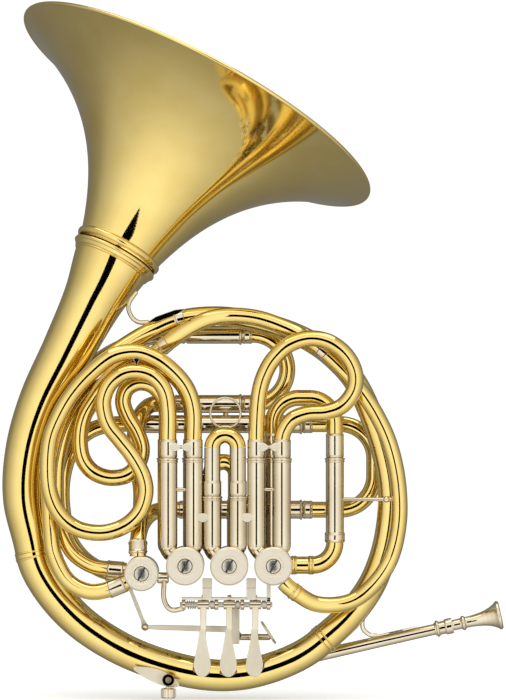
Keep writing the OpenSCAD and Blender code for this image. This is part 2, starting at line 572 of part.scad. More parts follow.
// A finger lever: hub on the axle, shank and paddle below, and an arm that reaches back to its string
module finger_lever(x) color(nickel) translate([x, axle_at[0], axle_at[1]]) {
    difference() {
        union() {
            translate([-hub_w / 2, 0, 0]) along_x() cylinder(h = hub_w, r = 3.6, $fn = round_fn);
            rotate([-paddle_lean, 0, 0]) translate([-2.4, -1.5, -32]) cube([4.8, 2.4, 31]);
            translate([-2, 0, -2.5]) cube([4, 33, 3.5]);
        }
        translate([-20, 0, 0]) along_x() cylinder(h = 40, r = axle_r + 0.05, $fn = round_fn);
    }
    translate([0, paddle_y, -lever_length + 15]) rotate([90, 0, 0]) hull() {
        translate([0, -3, 0]) cylinder(h = 2, r = paddle_w / 2, $fn = 32);
        translate([0, 16, 0]) cylinder(h = 2, r = 2.6, $fn = 32);
        translate([0, -10, 0]) cylinder(h = 2, r = 4, $fn = 32);
    }
    translate([0, 31, 0.5]) cylinder(h = 6, r = 1.6, $fn = small_fn);
}
module finger_lever_1() finger_lever(lever_xs[2]);
module finger_lever_2() finger_lever(lever_xs[1]);
module finger_lever_3() finger_lever(lever_xs[0]);

thumb_at = [5, -57];          // x and z of the thumb lever's pivot
thumb_y = 31;
ball_at = [-67, -50];
thumb_pin_r = 2;
module thumb_lever() color(nickel) difference() {
    union() {
        translate([thumb_at[0], thumb_y - 3, thumb_at[1]]) along_y() cylinder(h = 6, r = 4.5, $fn = round_fn);
        translate([ball_at[0] + 4, thumb_y - 1, -52.6]) cube([66, 2, 5]);
        translate([0, thumb_y - 1.4, -56]) cube([5, 2.8, 6]);
        translate([5, thumb_y, -58]) along_x() cylinder(h = 28, r = 2.6, $fn = round_fn);
        translate([ball_at[0], thumb_y, ball_at[1]]) sphere(r = 3, $fn = round_fn);
        translate([31, thumb_y + 3, -54.5]) rotate([0, -33, 0]) cube([1.8, 16, 20], center = true);
    }
    translate([thumb_at[0], thumb_y - 10, thumb_at[1]]) along_y() cylinder(h = 20, r = thumb_pin_r + 0.05, $fn = round_fn);
}
module thumb_post() color(nickel) {
    translate([thumb_at[0], thumb_y - 10, thumb_at[1]]) along_y() cylinder(h = 14, r = thumb_pin_r, $fn = round_fn);
    translate([thumb_at[0] - 3, thumb_y - 13, -63]) cube([6, 3, 32]);
}

// The bar between the thumb lever's ball and the change valve's stop arm
pin_at = [change_at[0] - 11, change_at[1] - 11];
link_y = 35.4;
module change_link() color(nickel) hull() {
    translate([ball_at[0], link_y, ball_at[1]]) along_y() cylinder(h = 2, r = 2.4, $fn = 32);
    translate([pin_at[0], link_y, pin_at[1]]) along_y() cylinder(h = 2, r = 2.4, $fn = 32);
}

// ---------------------------------------------------------------- finger hook

hook_x = -57;
socket_at = [-48, -90];     // x and z of the socket that takes the hook
module hook_plate() color(nickel) translate([hook_x, 0.4, -86]) rotate([0, 20, 0]) diamond(40, 13, 2);
module hook_socket() color(nickel) difference() {
    translate([socket_at[0], -10.5, socket_at[1]]) along_y() cylinder(h = 9.8, r = 5, $fn = round_fn);
    translate([socket_at[0], -12, socket_at[1]]) along_y() cylinder(h = 9, r = 2.4, $fn = round_fn);
}
module hook_screw() color(nickel) translate([socket_at[0], -6, socket_at[1] - 14.5]) {
    cylinder(h = 8, r = 6, $fn = round_fn);
    cylinder(h = 9.2, r = 2, $fn = round_fn);
}

bell_flare();
bell_rim_wire();
bell_ring();
tail_collar();
bell_tail();
bottom_bow();
ring_bow();
first_branch();
valve_ring();
inner_branch();
leadpipe();
mouthpiece_receiver();
mouthpiece();
tuning_return();
extension_return();
extension_feed();
casing_1();
casing_2();
casing_3();
change_casing();
valve_caps();
back_plates();
cap_screws();
rotor_1();
rotor_2();
rotor_3();
change_rotor();
stop_arm_1();
stop_arm_2();
stop_arm_3();
change_stop_arm();
valve_1_sockets();
valve_2_sockets();
valve_3_sockets();
tuning_sockets();
extension_sockets();
f1_slide();
f2_slide();
f3_slide();
b1_slide();
b2_slide();
b3_slide();
tuning_slide();
extension_slide();
pull_ring();
slide_braces();
bell_brace();
leadpipe_brace();
ring_brace();
lever_rack();
lever_axle();
finger_lever_1();
finger_lever_2();
finger_lever_3();
thumb_lever();
thumb_post();
change_link();
hook_plate();
hook_socket();
hook_screw();
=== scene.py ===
"""Double french horn: smooth tubing, bell, valves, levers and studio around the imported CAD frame."""
import json
import math

import bmesh
import bpy
import numpy as np
from mathutils import Matrix, Vector


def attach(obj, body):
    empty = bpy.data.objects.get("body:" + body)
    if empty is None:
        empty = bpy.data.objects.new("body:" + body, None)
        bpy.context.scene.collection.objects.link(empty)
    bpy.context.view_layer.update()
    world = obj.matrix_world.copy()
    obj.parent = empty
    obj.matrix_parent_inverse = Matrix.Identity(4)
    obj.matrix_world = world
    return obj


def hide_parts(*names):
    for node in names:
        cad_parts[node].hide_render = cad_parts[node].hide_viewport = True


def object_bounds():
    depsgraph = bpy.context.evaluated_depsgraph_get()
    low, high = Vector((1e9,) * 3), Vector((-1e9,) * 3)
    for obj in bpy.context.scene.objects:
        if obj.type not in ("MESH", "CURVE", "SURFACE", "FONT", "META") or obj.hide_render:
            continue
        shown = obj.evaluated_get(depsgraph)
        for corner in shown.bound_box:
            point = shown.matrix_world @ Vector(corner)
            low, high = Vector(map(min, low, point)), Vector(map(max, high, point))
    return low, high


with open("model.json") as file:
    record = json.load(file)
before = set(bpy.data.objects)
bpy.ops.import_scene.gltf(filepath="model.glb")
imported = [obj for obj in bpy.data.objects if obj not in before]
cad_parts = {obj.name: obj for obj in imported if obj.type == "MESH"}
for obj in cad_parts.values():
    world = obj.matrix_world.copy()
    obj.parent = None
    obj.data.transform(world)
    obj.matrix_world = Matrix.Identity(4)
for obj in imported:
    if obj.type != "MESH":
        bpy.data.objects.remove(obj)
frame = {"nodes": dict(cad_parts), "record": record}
cad_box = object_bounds()

MM = 0.001
TUBE_R = 6.4
SOCKET_R = 7.2
SLIDE_FIT = 0.05
FERRULE_R = 7.1
FRONT_Y = -11
REAR_Y = 4.2
FAR_Y = 36


# ---------------------------------------------------------------- materials

def new_material(name):
    material = bpy.data.materials.new(name)
    material.use_nodes = True
    tree = material.node_tree
    return material, tree, tree.nodes["Principled BSDF"]


def add_noise(tree, scale, detail=3.0, stretch=(1, 1, 1)):
    """Object-space noise, stretched along an axis if asked."""
    coords = tree.nodes.new("ShaderNodeTexCoord")
    mapping = tree.nodes.new("ShaderNodeMapping")
    mapping.inputs["Scale"].default_value = stretch
    noise = tree.nodes.new("ShaderNodeTexNoise")
    noise.inputs["Scale"].default_value = scale
    noise.inputs["Detail"].default_value = detail
    tree.links.new(coords.outputs["Object"], mapping.inputs["Vector"])
    tree.links.new(mapping.outputs["Vector"], noise.inputs["Vector"])
    return noise.outputs["Fac"]


def ramp(tree, value, low, high, start=0.35, end=0.65):
    """Maps a value between two colours."""
    node = tree.nodes.new("ShaderNodeValToRGB")
    node.color_ramp.elements[0].position = start
    node.color_ramp.elements[0].color = (*low, 1)
    node.color_ramp.elements[1].position = end
    node.color_ramp.elements[1].color = (*high, 1)
    tree.links.new(value, node.inputs["Fac"])
    return node.outputs["Color"]


def spread(tree, value, low, high):
    """Maps a 0 to 1 value to a range of numbers."""
    node = tree.nodes.new("ShaderNodeMapRange")
    node.inputs["To Min"].default_value = low
    node.inputs["To Max"].default_value = high
    tree.links.new(value, node.inputs["Value"])
    return node.outputs["Result"]


def add_bump(tree, shader, value, strength, distance):
    node = tree.nodes.new("ShaderNodeBump")
    node.inputs["Strength"].default_value = strength
    node.inputs["Distance"].default_value = distance
    tree.links.new(value, node.inputs["Height"])
    tree.links.new(node.outputs["Normal"], shader.inputs["Normal"])


def polished_metal(name, low, high, rough, grain=(1, 1, 1), grain_scale=900, bump=0.02):
    """A polished metal with faint patches of tone, smudges and a fine polishing grain."""
    material, tree, shader = new_material(name)
    shader.inputs["Metallic"].default_value = 1
    patches = add_noise(tree, 28)
    tree.links.new(ramp(tree, patches, low, high), shader.inputs["Base Color"])
    smudges = add_noise(tree, 65, 5)
    tree.links.new(spread(tree, smudges, rough[0], rough[1]), shader.inputs["Roughness"])
    add_bump(tree, shader, add_noise(tree, grain_scale, 2, grain), bump, 0.0002)
    return material


BRASS = polished_metal("lacquered_brass", (0.80, 0.60, 0.20), (0.85, 0.66, 0.25), (0.03, 0.07))
BELL_BRASS = polished_metal("bell_brass", (0.80, 0.61, 0.21), (0.85, 0.67, 0.26), (0.04, 0.08))
NICKEL = polished_metal("nickel_silver", (0.69, 0.60, 0.44), (0.76, 0.68, 0.52), (0.05, 0.11))
SATIN = polished_metal(
    "satin_nickel", (0.86, 0.79, 0.62), (0.93, 0.87, 0.71), (0.42, 0.52),
    grain=(9, 9, 0.4), grain_scale=500, bump=0.12)
STEEL = polished_metal(
    "screw_steel", (0.55, 0.52, 0.46), (0.66, 0.63, 0.56), (0.16, 0.26),
    grain=(1, 8, 1), grain_scale=600, bump=0.1)


def turned_metal(name, centre, low, high):
    """Metal faced on a lathe: fine rings around a centre in the XZ plane, in metres."""
    material, tree, shader = new_material(name)
    shader.inputs["Metallic"].default_value = 1
    coords = tree.nodes.new("ShaderNodeTexCoord")
    mapping = tree.nodes.new("ShaderNodeMapping")
    mapping.inputs["Location"].default_value = (-centre[0] * MM, 0, -centre[1] * MM)
    flatten = tree.nodes.new("ShaderNodeVectorMath")
    flatten.operation = "MULTIPLY"
    flatten.inputs[1].default_value = (1, 0, 1)
    length = tree.nodes.new("ShaderNodeVectorMath")
    length.operation = "LENGTH"
    rings = tree.nodes.new("ShaderNodeTexNoise")
    rings.noise_dimensions = "1D"
    rings.inputs["Scale"].default_value = 2600
    rings.inputs["Detail"].default_value = 2
    tree.links.new(coords.outputs["Object"], mapping.inputs["Vector"])
    tree.links.new(mapping.outputs["Vector"], flatten.inputs[0])
    tree.links.new(flatten.outputs["Vector"], length.inputs[0])
    tree.links.new(length.outputs["Value"], rings.inputs["W"])
    tree.links.new(ramp(tree, rings.outputs["Fac"], low, high, 0.3, 0.7), shader.inputs["Base Color"])
    tree.links.new(spread(tree, rings.outputs["Fac"], 0.42, 0.55), shader.inputs["Roughness"])
    add_bump(tree, shader, rings.outputs["Fac"], 0.25, 0.0001)
    return material


# ---------------------------------------------------------------- meshes

def finish_piece(name, mesh, material, body, nodes, smooth=38):
    """Names, shades and registers a piece."""
    mesh.validate()
    mesh.shade_smooth()
    mesh.set_sharp_from_angle(angle=math.radians(smooth))
    mesh.materials.append(material)
    piece = bpy.data.objects.new(name, mesh)
    bpy.context.scene.collection.objects.link(piece)
    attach(piece, body)
    if nodes:
        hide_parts(*nodes)
    return piece


def mesh_from(name, verts, faces):
    mesh = bpy.data.meshes.new(name)
    mesh.from_pydata([tuple(v) for v in verts], [], faces)
    tidy = bmesh.new()
    tidy.from_mesh(mesh)
    bmesh.ops.remove_doubles(tidy, verts=tidy.verts, dist=1e-7)
    bmesh.ops.recalc_face_normals(tidy, faces=tidy.faces)
    tidy.to_mesh(mesh)
    tidy.free()
    return mesh


def smooth_path(points, start, finish, steps=8):
    """Catmull-Rom stations [x, y, z, radius] in mm, leaving along start and arriving along finish."""
    p = np.array([q if len(q) == 4 else (*q, TUBE_R) for q in points], float)
    start = np.array(start, float) / np.linalg.norm(start)
    finish = np.array(finish, float) / np.linalg.norm(finish)
    before = p[0].copy()
    before[:3] = p[1, :3] - 2 * np.linalg.norm(p[1, :3] - p[0, :3]) * start
    after = p[-1].copy()
    after[:3] = p[-2, :3] + 2 * np.linalg.norm(p[-1, :3] - p[-2, :3]) * finish
    c = np.vstack([before, p, after])
    rows = []
    for i in range(1, len(c) - 2):
        a, b, d, e = c[i - 1:i + 3]
        for s in range(steps):
            u = s / steps
            rows.append(0.5 * (
                2 * b + (d - a) * u + (2 * a - 5 * b + 4 * d - e) * u * u
                + (3 * b - a - 3 * d + e) * u * u * u))
    rows.append(c[-2])
    return np.array(rows)


def line_path(a, b, r):
    return np.array([(*a, r), (*b, r)], float)


def arc_path(centre, y, bend_r, start, turn, r=TUBE_R, steps=24):
    """Stations on an arc in the XZ plane, angles from +X towards +Z."""
    angles = np.radians(start + turn * np.arange(steps + 1) / steps)
    return np.array([
        (centre[0] + bend_r * math.cos(a), y, centre[1] + bend_r * math.sin(a), r) for a in angles])


def join_paths(*paths):
    rows = [paths[0]]
    for path in paths[1:]:
        rows.append(path[1:])
    return np.vstack(rows)


def path_frames(path):
    """A tangent and two sides at each station, turned as little as possible along the path."""
    xyz = path[:, :3]
    tangents = np.gradient(xyz, axis=0)
    tangents /= np.linalg.norm(tangents, axis=1)[:, None]
    side = np.cross(tangents[0], (0.13, 1, 0.07))
    frames = []
    for t in tangents:
        side = side - t * np.dot(side, t)
        side /= np.linalg.norm(side)
        frames.append((t, side, np.cross(t, side)))
    return frames


def sweep_mesh(name, path, wall=0.5, sides=36):
    """A hollow tube along stations [x, y, z, radius] in mm."""
    frames = path_frames(path)
    verts = []
    for inset in (0, wall):
        for (x, y, z, r), (_, side, up) in zip(path, frames):
            for k in range(sides):
                a = 2 * math.pi * k / sides
                offset = (r - inset) * (math.cos(a) * side + math.sin(a) * up)
                verts.append(((x + offset[0]) * MM, (y + offset[1]) * MM, (z + offset[2]) * MM))
    n = len(path)
    inner = n * sides
    faces = []
    for i in range(n - 1):
        for k in range(sides):
            j = (k + 1) % sides
            quad = (i * sides + k, i * sides + j, (i + 1) * sides + j, (i + 1) * sides + k)
            faces.append(quad)
            faces.append(tuple(inner + q for q in reversed(quad)))
    for end in (0, (n - 1) * sides):
        for k in range(sides):
            j = (k + 1) % sides
            faces.append((end + k, end + j, inner + end + j, inner + end + k))
    return mesh_from(name, verts, faces)


def tube(name, path, material=BRASS, body="horn", nodes=(), wall=0.5, sides=36):
    return finish_piece(name, sweep_mesh(name, path, wall, sides), material, body, nodes, 50)


def axes_along(axis):
    """A rotation that takes +Z to the axis."""
    return Vector((0, 0, 1)).rotation_difference(Vector(axis).normalized()).to_matrix()


def guard_long_runs(profile, reach=0.4):
    """Adds a point just inside each end of every long run of a profile, so that it shades as straight."""
    guarded = [profile[0]]
    for a, b in zip(profile, profile[1:]):
        length = math.dist(a, b)
        if length > 6 * reach:
            t = reach / length
            guarded.append((a[0] + (b[0] - a[0]) * t, a[1] + (b[1] - a[1]) * t))
            guarded.append((b[0] + (a[0] - b[0]) * t, b[1] + (a[1] - b[1]) * t))
        guarded.append(b)
    return guarded


def revolve(name, profile, origin, axis, material, body="horn", nodes=(), sides=64, smooth=38):
    """A closed profile [(radius, height)] in mm, turned about an axis through origin."""
    profile = guard_long_runs(profile)
    turn = axes_along(axis)
    verts, faces = [], []
    n = len(profile)
    for k in range(sides):
        a = 2 * math.pi * k / sides
        for r, h in profile:
            v = turn @ Vector((r * math.cos(a), r * math.sin(a), h)) + Vector(origin)
            verts.append(v * MM)
    for k in range(sides):
        j = (k + 1) % sides
        for i in range(n):
            m = (i + 1) % n
            faces.append((k * n + i, j * n + i, j * n + m, k * n + m))
    return finish_piece(name, mesh_from(name, verts, faces), material, body, nodes, smooth)


def arc_points(centre, r, start, turn, steps):
    return [(centre[0] + r * math.cos(math.radians(start + turn * i / steps)),
             centre[1] + r * math.sin(math.radians(start + turn * i / steps))) for i in range(steps + 1)]


def ring(name, r, thick, origin, axis, material, body="horn", nodes=(), sides=64):
    """A round wire ring."""
    circle = arc_points((r, 0), thick, 0, 337.5, 15)
    return revolve(name, circle, origin, axis, material, body, nodes, sides, 60)


def band_profile(outer, inner, h, edge=0.5, bead=0.45):
    """A sleeve with two thin beads and rounded edges."""
    outside = [(outer - edge, 0), (outer, edge)]
    for middle in (1.6, h - 1.6):
        outside += [(outer, middle - bead), (outer + bead, middle), (outer, middle + bead)]
    outside += [(outer, h - edge), (outer - edge, h)]
    return outside + [(inner, h), (inner, 0)]


def sleeve(name, origin, axis, h, outer, inner, material=NICKEL, body="horn", bead=0.45):
    return revolve(name, band_profile(outer, inner, h, bead=bead), origin, axis, material, body, (), 48, 50)


def plate(name, outline, thick, place, material, body="horn", nodes=(), bevel=0.35, rounds=3):
    """A flat outline in mm, given a thickness and softened edges. The place matrix sets it in the horn."""
    n = len(outline)
    verts = [place @ Vector((x, y, z)) * MM for z in (-thick / 2, thick / 2) for x, y in outline]
    faces = [tuple(reversed(range(n))), tuple(range(n, 2 * n))]
    faces += [(i, (i + 1) % n, n + (i + 1) % n, n + i) for i in range(n)]
    piece = finish_piece(name, mesh_from(name, verts, faces), material, body, nodes, 30)
    if bevel:
        edges = piece.modifiers.new("soft_edges", "BEVEL")
        edges.width = bevel * MM
        edges.segments = rounds
        edges.limit_method = "ANGLE"
        edges.angle_limit = math.radians(40)
    return piece


def soften(outline, rounds=2):
    """Cuts the corners of a closed outline until it looks round."""
    for _ in range(rounds):
        cut = []
        for (ax, ay), (bx, by) in zip(outline, outline[1:] + outline[:1]):
            cut.append((ax * 0.75 + bx * 0.25, ay * 0.75 + by * 0.25))
            cut.append((ax * 0.25 + bx * 0.75, ay * 0.25 + by * 0.75))
        outline = cut
    return outline


def place_at(origin, x_axis, y_axis):
    """A matrix whose local X and Y run along the given directions."""
    x = Vector(x_axis).normalized()
    z = x.cross(Vector(y_axis)).normalized()
    y = z.cross(x)
    m = Matrix((x, y, z)).transposed().to_4x4()
    m.translation = Vector(origin)
    return m


def upright(x, y, z):
    """A place for a plate that stands in the XZ plane and faces -Y."""
    return place_at((x, y, z), (1, 0, 0), (0, 0, 1))


# ---------------------------------------------------------------- bell

BELL_FOOT = Vector((-90, 36, 246))
BELL_AXIS = Vector((0.4583, 0.2161, 0.8621)).normalized()
BELL_LENGTH = 138
BELL_RIM_R = 155
THROAT_R = 32.3
FLARE_REACH = 132
FLARE_FOCUS = 287
FLARE_POWER = math.log(BELL_RIM_R / THROAT_R) / math.log(FLARE_FOCUS / (FLARE_FOCUS - FLARE_REACH))


def flare_r(z):
    u = z * FLARE_REACH / BELL_LENGTH
    return THROAT_R * (FLARE_FOCUS / (FLARE_FOCUS - u)) ** FLARE_POWER


def make_bell():
    steps = 90
    us = [0.4 + (BELL_LENGTH - 0.4) * (1 - (1 - i / steps) ** 1.6) for i in range(steps + 1)]
    outside = [(flare_r(u), u) for u in us]
    inside = [(flare_r(u) - 0.8 - 0.7 * (u / BELL_LENGTH) ** 6, u) for u in reversed(us)]
    skin = outside + inside
    revolve("bell_flare_skin", skin, BELL_FOOT, BELL_AXIS, BELL_BRASS, "bell", ["bell_flare"], 192, 60)
    rim = BELL_FOOT + BELL_AXIS * (BELL_LENGTH + 0.6)
    ring("bell_rim_bead", BELL_RIM_R - 0.7, 1.6, rim, BELL_AXIS, BELL_BRASS, "bell", ["bell_rim_wire"], 192)
    nut = [(THROAT_R + 1.6, 0.4), (THROAT_R + 2.2, 0.4)]
    nut += arc_points((THROAT_R + 0.4, 3.8), 3.2, -80, 160, 14)
    nut += [(THROAT_R + 1.9, 7.1), (THROAT_R + 1.5, 7.3)]
    revolve("bell_ring_nut", nut, BELL_FOOT, BELL_AXIS, BRASS, "bell", ["bell_ring"], 128, 50)
    collar = [(THROAT_R - 2.0, -9.6), (THROAT_R - 1.2, -9.6)]
    collar += arc_points((THROAT_R - 0.9, -8.7), 0.7, -70, 140, 8)
    collar += [(THROAT_R + 0.4, -7.4)]
    collar += arc_points((THROAT_R + 1.2, -3.4), 1.7, -75, 150, 12)
    collar += [(THROAT_R + 1.0, -0.6), (THROAT_R + 0.1, -0.6)]
    revolve("tail_thread_collar", collar, BELL_FOOT, BELL_AXIS, BRASS, "horn", ["tail_collar"], 128, 50)


# ---------------------------------------------------------------- main tubing

TAIL = [
    (-90, 36, 246, 32.3), (-108.5, 28.5, 209, 24.3), (-128, 26, 170, 20.8), (-148, 26, 130, 18.8),
    (-160, 25, 91, 17.6), (-163, 23, 52, 16.5), (-155, 21, 11, 15)]
BOTTOM = [
    (-155, 21, 11, 15), (-142, 19, -19, 14.3), (-115, 16.5, -48, 13.7), (-76, 14.5, -71, 13.2),
    (-30, 14, -85, 12.8), (8, 14, -87, 12.4), (44, 14, -77.5, 12), (72, 14.5, -61, 11.7)]
RING_BOW = [
    (72, 14.5, -61, 11.7), (95, 15, -40, 11.4), (112, 16.5, -17, 11.1), (122, 18.5, 8, 10.7),
    (127, 19, 35, 10.4), (127.5, 19, 60, 10.1), (123, 19, 86, 9.8), (114, 19, 114, 9.5),
    (100, 19.5, 144, 9.2), (82, 20, 164, 8.9), (62, 20, 178, 8.7), (38, 20.5, 188, 8.5),
    (14, 22, 194, 8), (-10, 23, 197, 7.6), (-36, 23, 195, 7.3)]
FIRST_BRANCH = [
    (-36, 23, 195, 7.3), (-60, 23, 186, 7.1), (-83, 20, 173, 6.9), (-104, 15, 157, 6.7),
    (-120, 9, 140, 6.5), (-131, 2.5, 121, 6.4), (-138, 2.3, 102, 6.4), (-142, 2.3, 82, 6.4),
    (-143, 2.3, 62, 6.4), (-142, 2.3, 45, 6.4), (-141, 0, 28, 6.4), (-138, -3, 8, 6.4),
    (-127, -6, -12, 6.4), (-110, -8.5, -20.5, 6.4), (-93, -10.5, -18, 6.4), (-80.5, -11, -12.5, 6.4)]
VALVE_RING = [
    (43, -11, -13), (55, -9, -23), (68, -6, -30), (84, -4, -31), (99, -3, -27), (112, -2.5, -17),
    (123, -1, -3), (130, 1, 13), (134, 2, 35), (134, 2, 57), (131, 2, 79), (125, 2, 100),
    (116, 2, 119), (105, 2.5, 136), (91, 3, 153), (73, 3, 170), (55, 3, 182), (38, 3, 190),
    (20, 3, 195.5), (1, 4, 197), (-16, 6, 194.5), (-32, 9, 187), (-48, 13, 176)]
INNER_BRANCH = [
    (-48, 13, 176), (-62, 17.5, 165), (-78, 19, 154), (-94, 18, 146), (-107, 18, 138), (-118, 18, 127),
    (-126, 17.5, 113), (-132, 17, 98), (-136, 17, 80), (-137, 16.5, 62), (-136, 14, 44),
    (-132, 11, 26), (-124, 8, 10), (-110, 6, 0), (-95, 4.5, -3), (-81, 4.2, -4)]
LEADPIPE = [
    (163, 34, -52, 4.4), (130, 34, -59.3, 4.6), (97, 34, -66.7, 4.8), (64, 34, -74, 5),
    (30, 34.5, -80.5, 5.2), (-5, 34.5, -83, 5.4), (-40, 35, -79, 5.6), (-75, 37, -67, 5.8),
    (-108, 40, -47, 6), (-133, 43.5, -18, 6.2), (-149, 46.5, 15, 6.4), (-155, 48.5, 50, 6.4),
    (-152, 50, 85, 6.4), (-142, 51, 115, 6.4), (-124, 50, 143, 6.4), (-99, 44, 165, 6.4),
    (-70, 38, 178, 6.4), (-48, 36, 182, 6.4), (-34, 36, 182, 6.4)]
TUNING_RETURN = [
    (-34, 36, 127), (-50, 36, 127), (-63, 32, 126), (-71, 23, 117), (-75, 19, 101), (-73, 18.5, 80),
    (-70, 16, 60), (-70, 11, 44), (-71, 2, 30), (-72, -7, 18), (-72, -10.5, 7.5)]
EXTENSION_RETURN = [
    (-70, 36, 111), (-90, 36, 111), (-108, 36, 107), (-121, 35.5, 97), (-129, 34.5, 82), (-133, 33, 62),
    (-132, 32, 40), (-127, 29, 20), (-116, 25, 5), (-102, 20.5, -4), (-90, 18.2, -7), (-81, 18, -7)]
EXTENSION_FEED = [
    (-40, 36, 43), (-52, 35, 43), (-62, 31, 40), (-69, 22, 32), (-72, 12, 21), (-72, 5.5, 13),
    (-72, 4.2, 7.5)]

SLIM = 0.35         # leaves the third B flat slide room to pass the inner branch
TAIL_JOINT = (0.15, -0.06, -1)
BOW_JOINT = (0.75, 0.03, 0.65)
TOP_JOINT = (-1, -0.02, -0.2)
RING_JOINT = (-0.82, 0.2, -0.57)
LEAD_AXIS = Vector((0.976, 0, 0.216)).normalized()


def path_band(name, path, centre, length, material=NICKEL, body="horn", lift=0.7):
    """A sleeve with a bead at each end that follows a tube around one of its joints."""
    xyz = path[:, :3]
    gaps = np.linalg.norm(np.diff(xyz, axis=0), axis=1)
    along = np.concatenate([[0], np.cumsum(gaps)])
    total = along[-1]
    centre = centre if centre >= 0 else total + centre
    marks = np.array([0, 0.25, 0.9, 1.3, 1.7, 2.4])
    lifts = np.array([0.05, lift, lift, lift + 0.5, lift, lift])
    s = np.concatenate([centre - length / 2 + marks, centre + length / 2 - marks[::-1]])
    lifts = np.concatenate([lifts, lifts[::-1]])
    s = np.clip(s, 0, total)
    rows = np.array([[np.interp(v, along, path[:, c]) for c in range(4)] for v in s])
    rows[:, 3] += lifts
    keep = np.concatenate([[True], np.diff(s) > 1e-6])
    return tube(name, rows[keep], material, body, (), lift + 0.02, 40)


def make_main_tubing():
    tail = smooth_path(TAIL, -BELL_AXIS, TAIL_JOINT, 14)
    bottom = smooth_path(BOTTOM, TAIL_JOINT, BOW_JOINT, 12)
    bow = smooth_path(RING_BOW, BOW_JOINT, TOP_JOINT)
    first = smooth_path(FIRST_BRANCH, TOP_JOINT, (0.9, 0, 0.45))
    ring_path = smooth_path(VALVE_RING, (0.6, 0, -0.8), RING_JOINT)
    inner = smooth_path(INNER_BRANCH, RING_JOINT, (1, 0, 0))
    inner[:, 3] -= SLIM
    lead = smooth_path(LEADPIPE, -LEAD_AXIS, (1, 0, 0))
    tube("bell_tail_tube", tail, BELL_BRASS, nodes=["bell_tail"], wall=0.8, sides=96)
    tube("bottom_bow_tube", bottom, BELL_BRASS, nodes=["bottom_bow"], wall=0.7, sides=64)
    tube("ring_bow_tube", bow, nodes=["ring_bow"], wall=0.6, sides=48)
    tube("first_branch_tube", first, nodes=["first_branch"])
    tube("valve_ring_tube", ring_path, nodes=["valve_ring"])
    tube("inner_branch_tube", inner, nodes=["inner_branch"])
    tube("leadpipe_tube", lead, NICKEL, nodes=["leadpipe"])
    tuning = smooth_path(TUNING_RETURN, (-1, 0, 0), (0, 0, -1))
    extension = smooth_path(EXTENSION_RETURN, (-1, 0, 0), (1, 0, 0))
    feed = smooth_path(EXTENSION_FEED, (-1, 0, 0), (0, 0, -1))
    tube("tuning_return_tube", tuning, nodes=["tuning_return"])
    tube("extension_return_tube", extension, nodes=["extension_return"])
    tube("extension_feed_tube", feed, nodes=["extension_feed"])
    for name, path, at, length in (
            ("branch_band", first, 3.2, 9), ("branch_end_band", first, -9, 14), ("inner_band", inner, 3.2, 9),
            ("inner_end_band", inner, -9, 14), ("ring_top_band", ring_path, 290.4, 9),
            ("tuning_end_band", tuning, -7, 10), ("tuning_top_band", tuning, 5, 9),
            ("extension_end_band", extension, -9, 14), ("extension_top_band", extension, 5, 9),
            ("feed_end_band", feed, -7, 10), ("lead_end_band", lead, -6, 10)):
        path_band(name, path, at, length)
    for name, path, at in (
            ("bow_joint", bottom, 3.2), ("ring_joint", bow, 3.2), ("ring_start_band", ring_path, 12)):
        path_band(name, path, at, 6, BRASS, lift=0.35)


def make_mouthpiece():
    foot = Vector((163, 34, -52))
    receiver = [(4.15, 0.1), (5, 0.1), (5.3, 0.7), (5.3, 1.4)]
    receiver += arc_points((5.4, 2.4), 1.3, -80, 160, 8)
    receiver += [(5.3, 3.4), (5.3, 8.2), (6.1, 8.9), (6.3, 9.4), (6.3, 13.8), (5.9, 14.5), (4.15, 14.5)]
    revolve("receiver_sleeve", receiver, foot, LEAD_AXIS, NICKEL, nodes=["mouthpiece_receiver"])
    start = foot + LEAD_AXIS * 14.5
    funnel = [(2.3, -10), (4.05, -10), (4.05, 0.5), (4.2, 1), (4.35, 6.6)]
    funnel += arc_points((4.4, 8.9), 1.5, -70, 140, 8)
    funnel += [(4.35, 11.2), (4.5, 15), (4.9, 19.5), (5.5, 23.6), (6.4, 27.6), (7.6, 31), (9, 33.8),
        (10.2, 35.6)]
    funnel += arc_points((9.7, 37.6), 1.8, -50, 190, 12)
    funnel += [(7.4, 34.6), (5.9, 30.5), (4.4, 26), (3.2, 21), (2.4, 15), (2.2, 6)]
    revolve("mouthpiece_funnel", funnel, start, LEAD_AXIS, NICKEL, "mouthpiece_body", ["mouthpiece"], 72, 45)


# ---------------------------------------------------------------- slides and sockets

PITCH = 34.7
VALVES = {"1": (PITCH, 0, 14.9), "2": (0, 0, 14.9), "3": (-PITCH, 0, 14.9), "change": (-69, -6, 13.4)}
F_LEGS = (-13.3, 6.7)
B_LEGS = (-14.8, 5.2)
LONG_MOUTH = 85
SOCKET_FOOT = 15
CASING_ENTRY_R = 14
LONG_TOP = 98
F1_XS = (21.4, 41.4)
F3_XS = (-48, -28)
B3_XS = (-49.5, -29.5)
B1_LEFT = 34.5
B1_RIGHT = 83.3
B1_MOUTH = 85

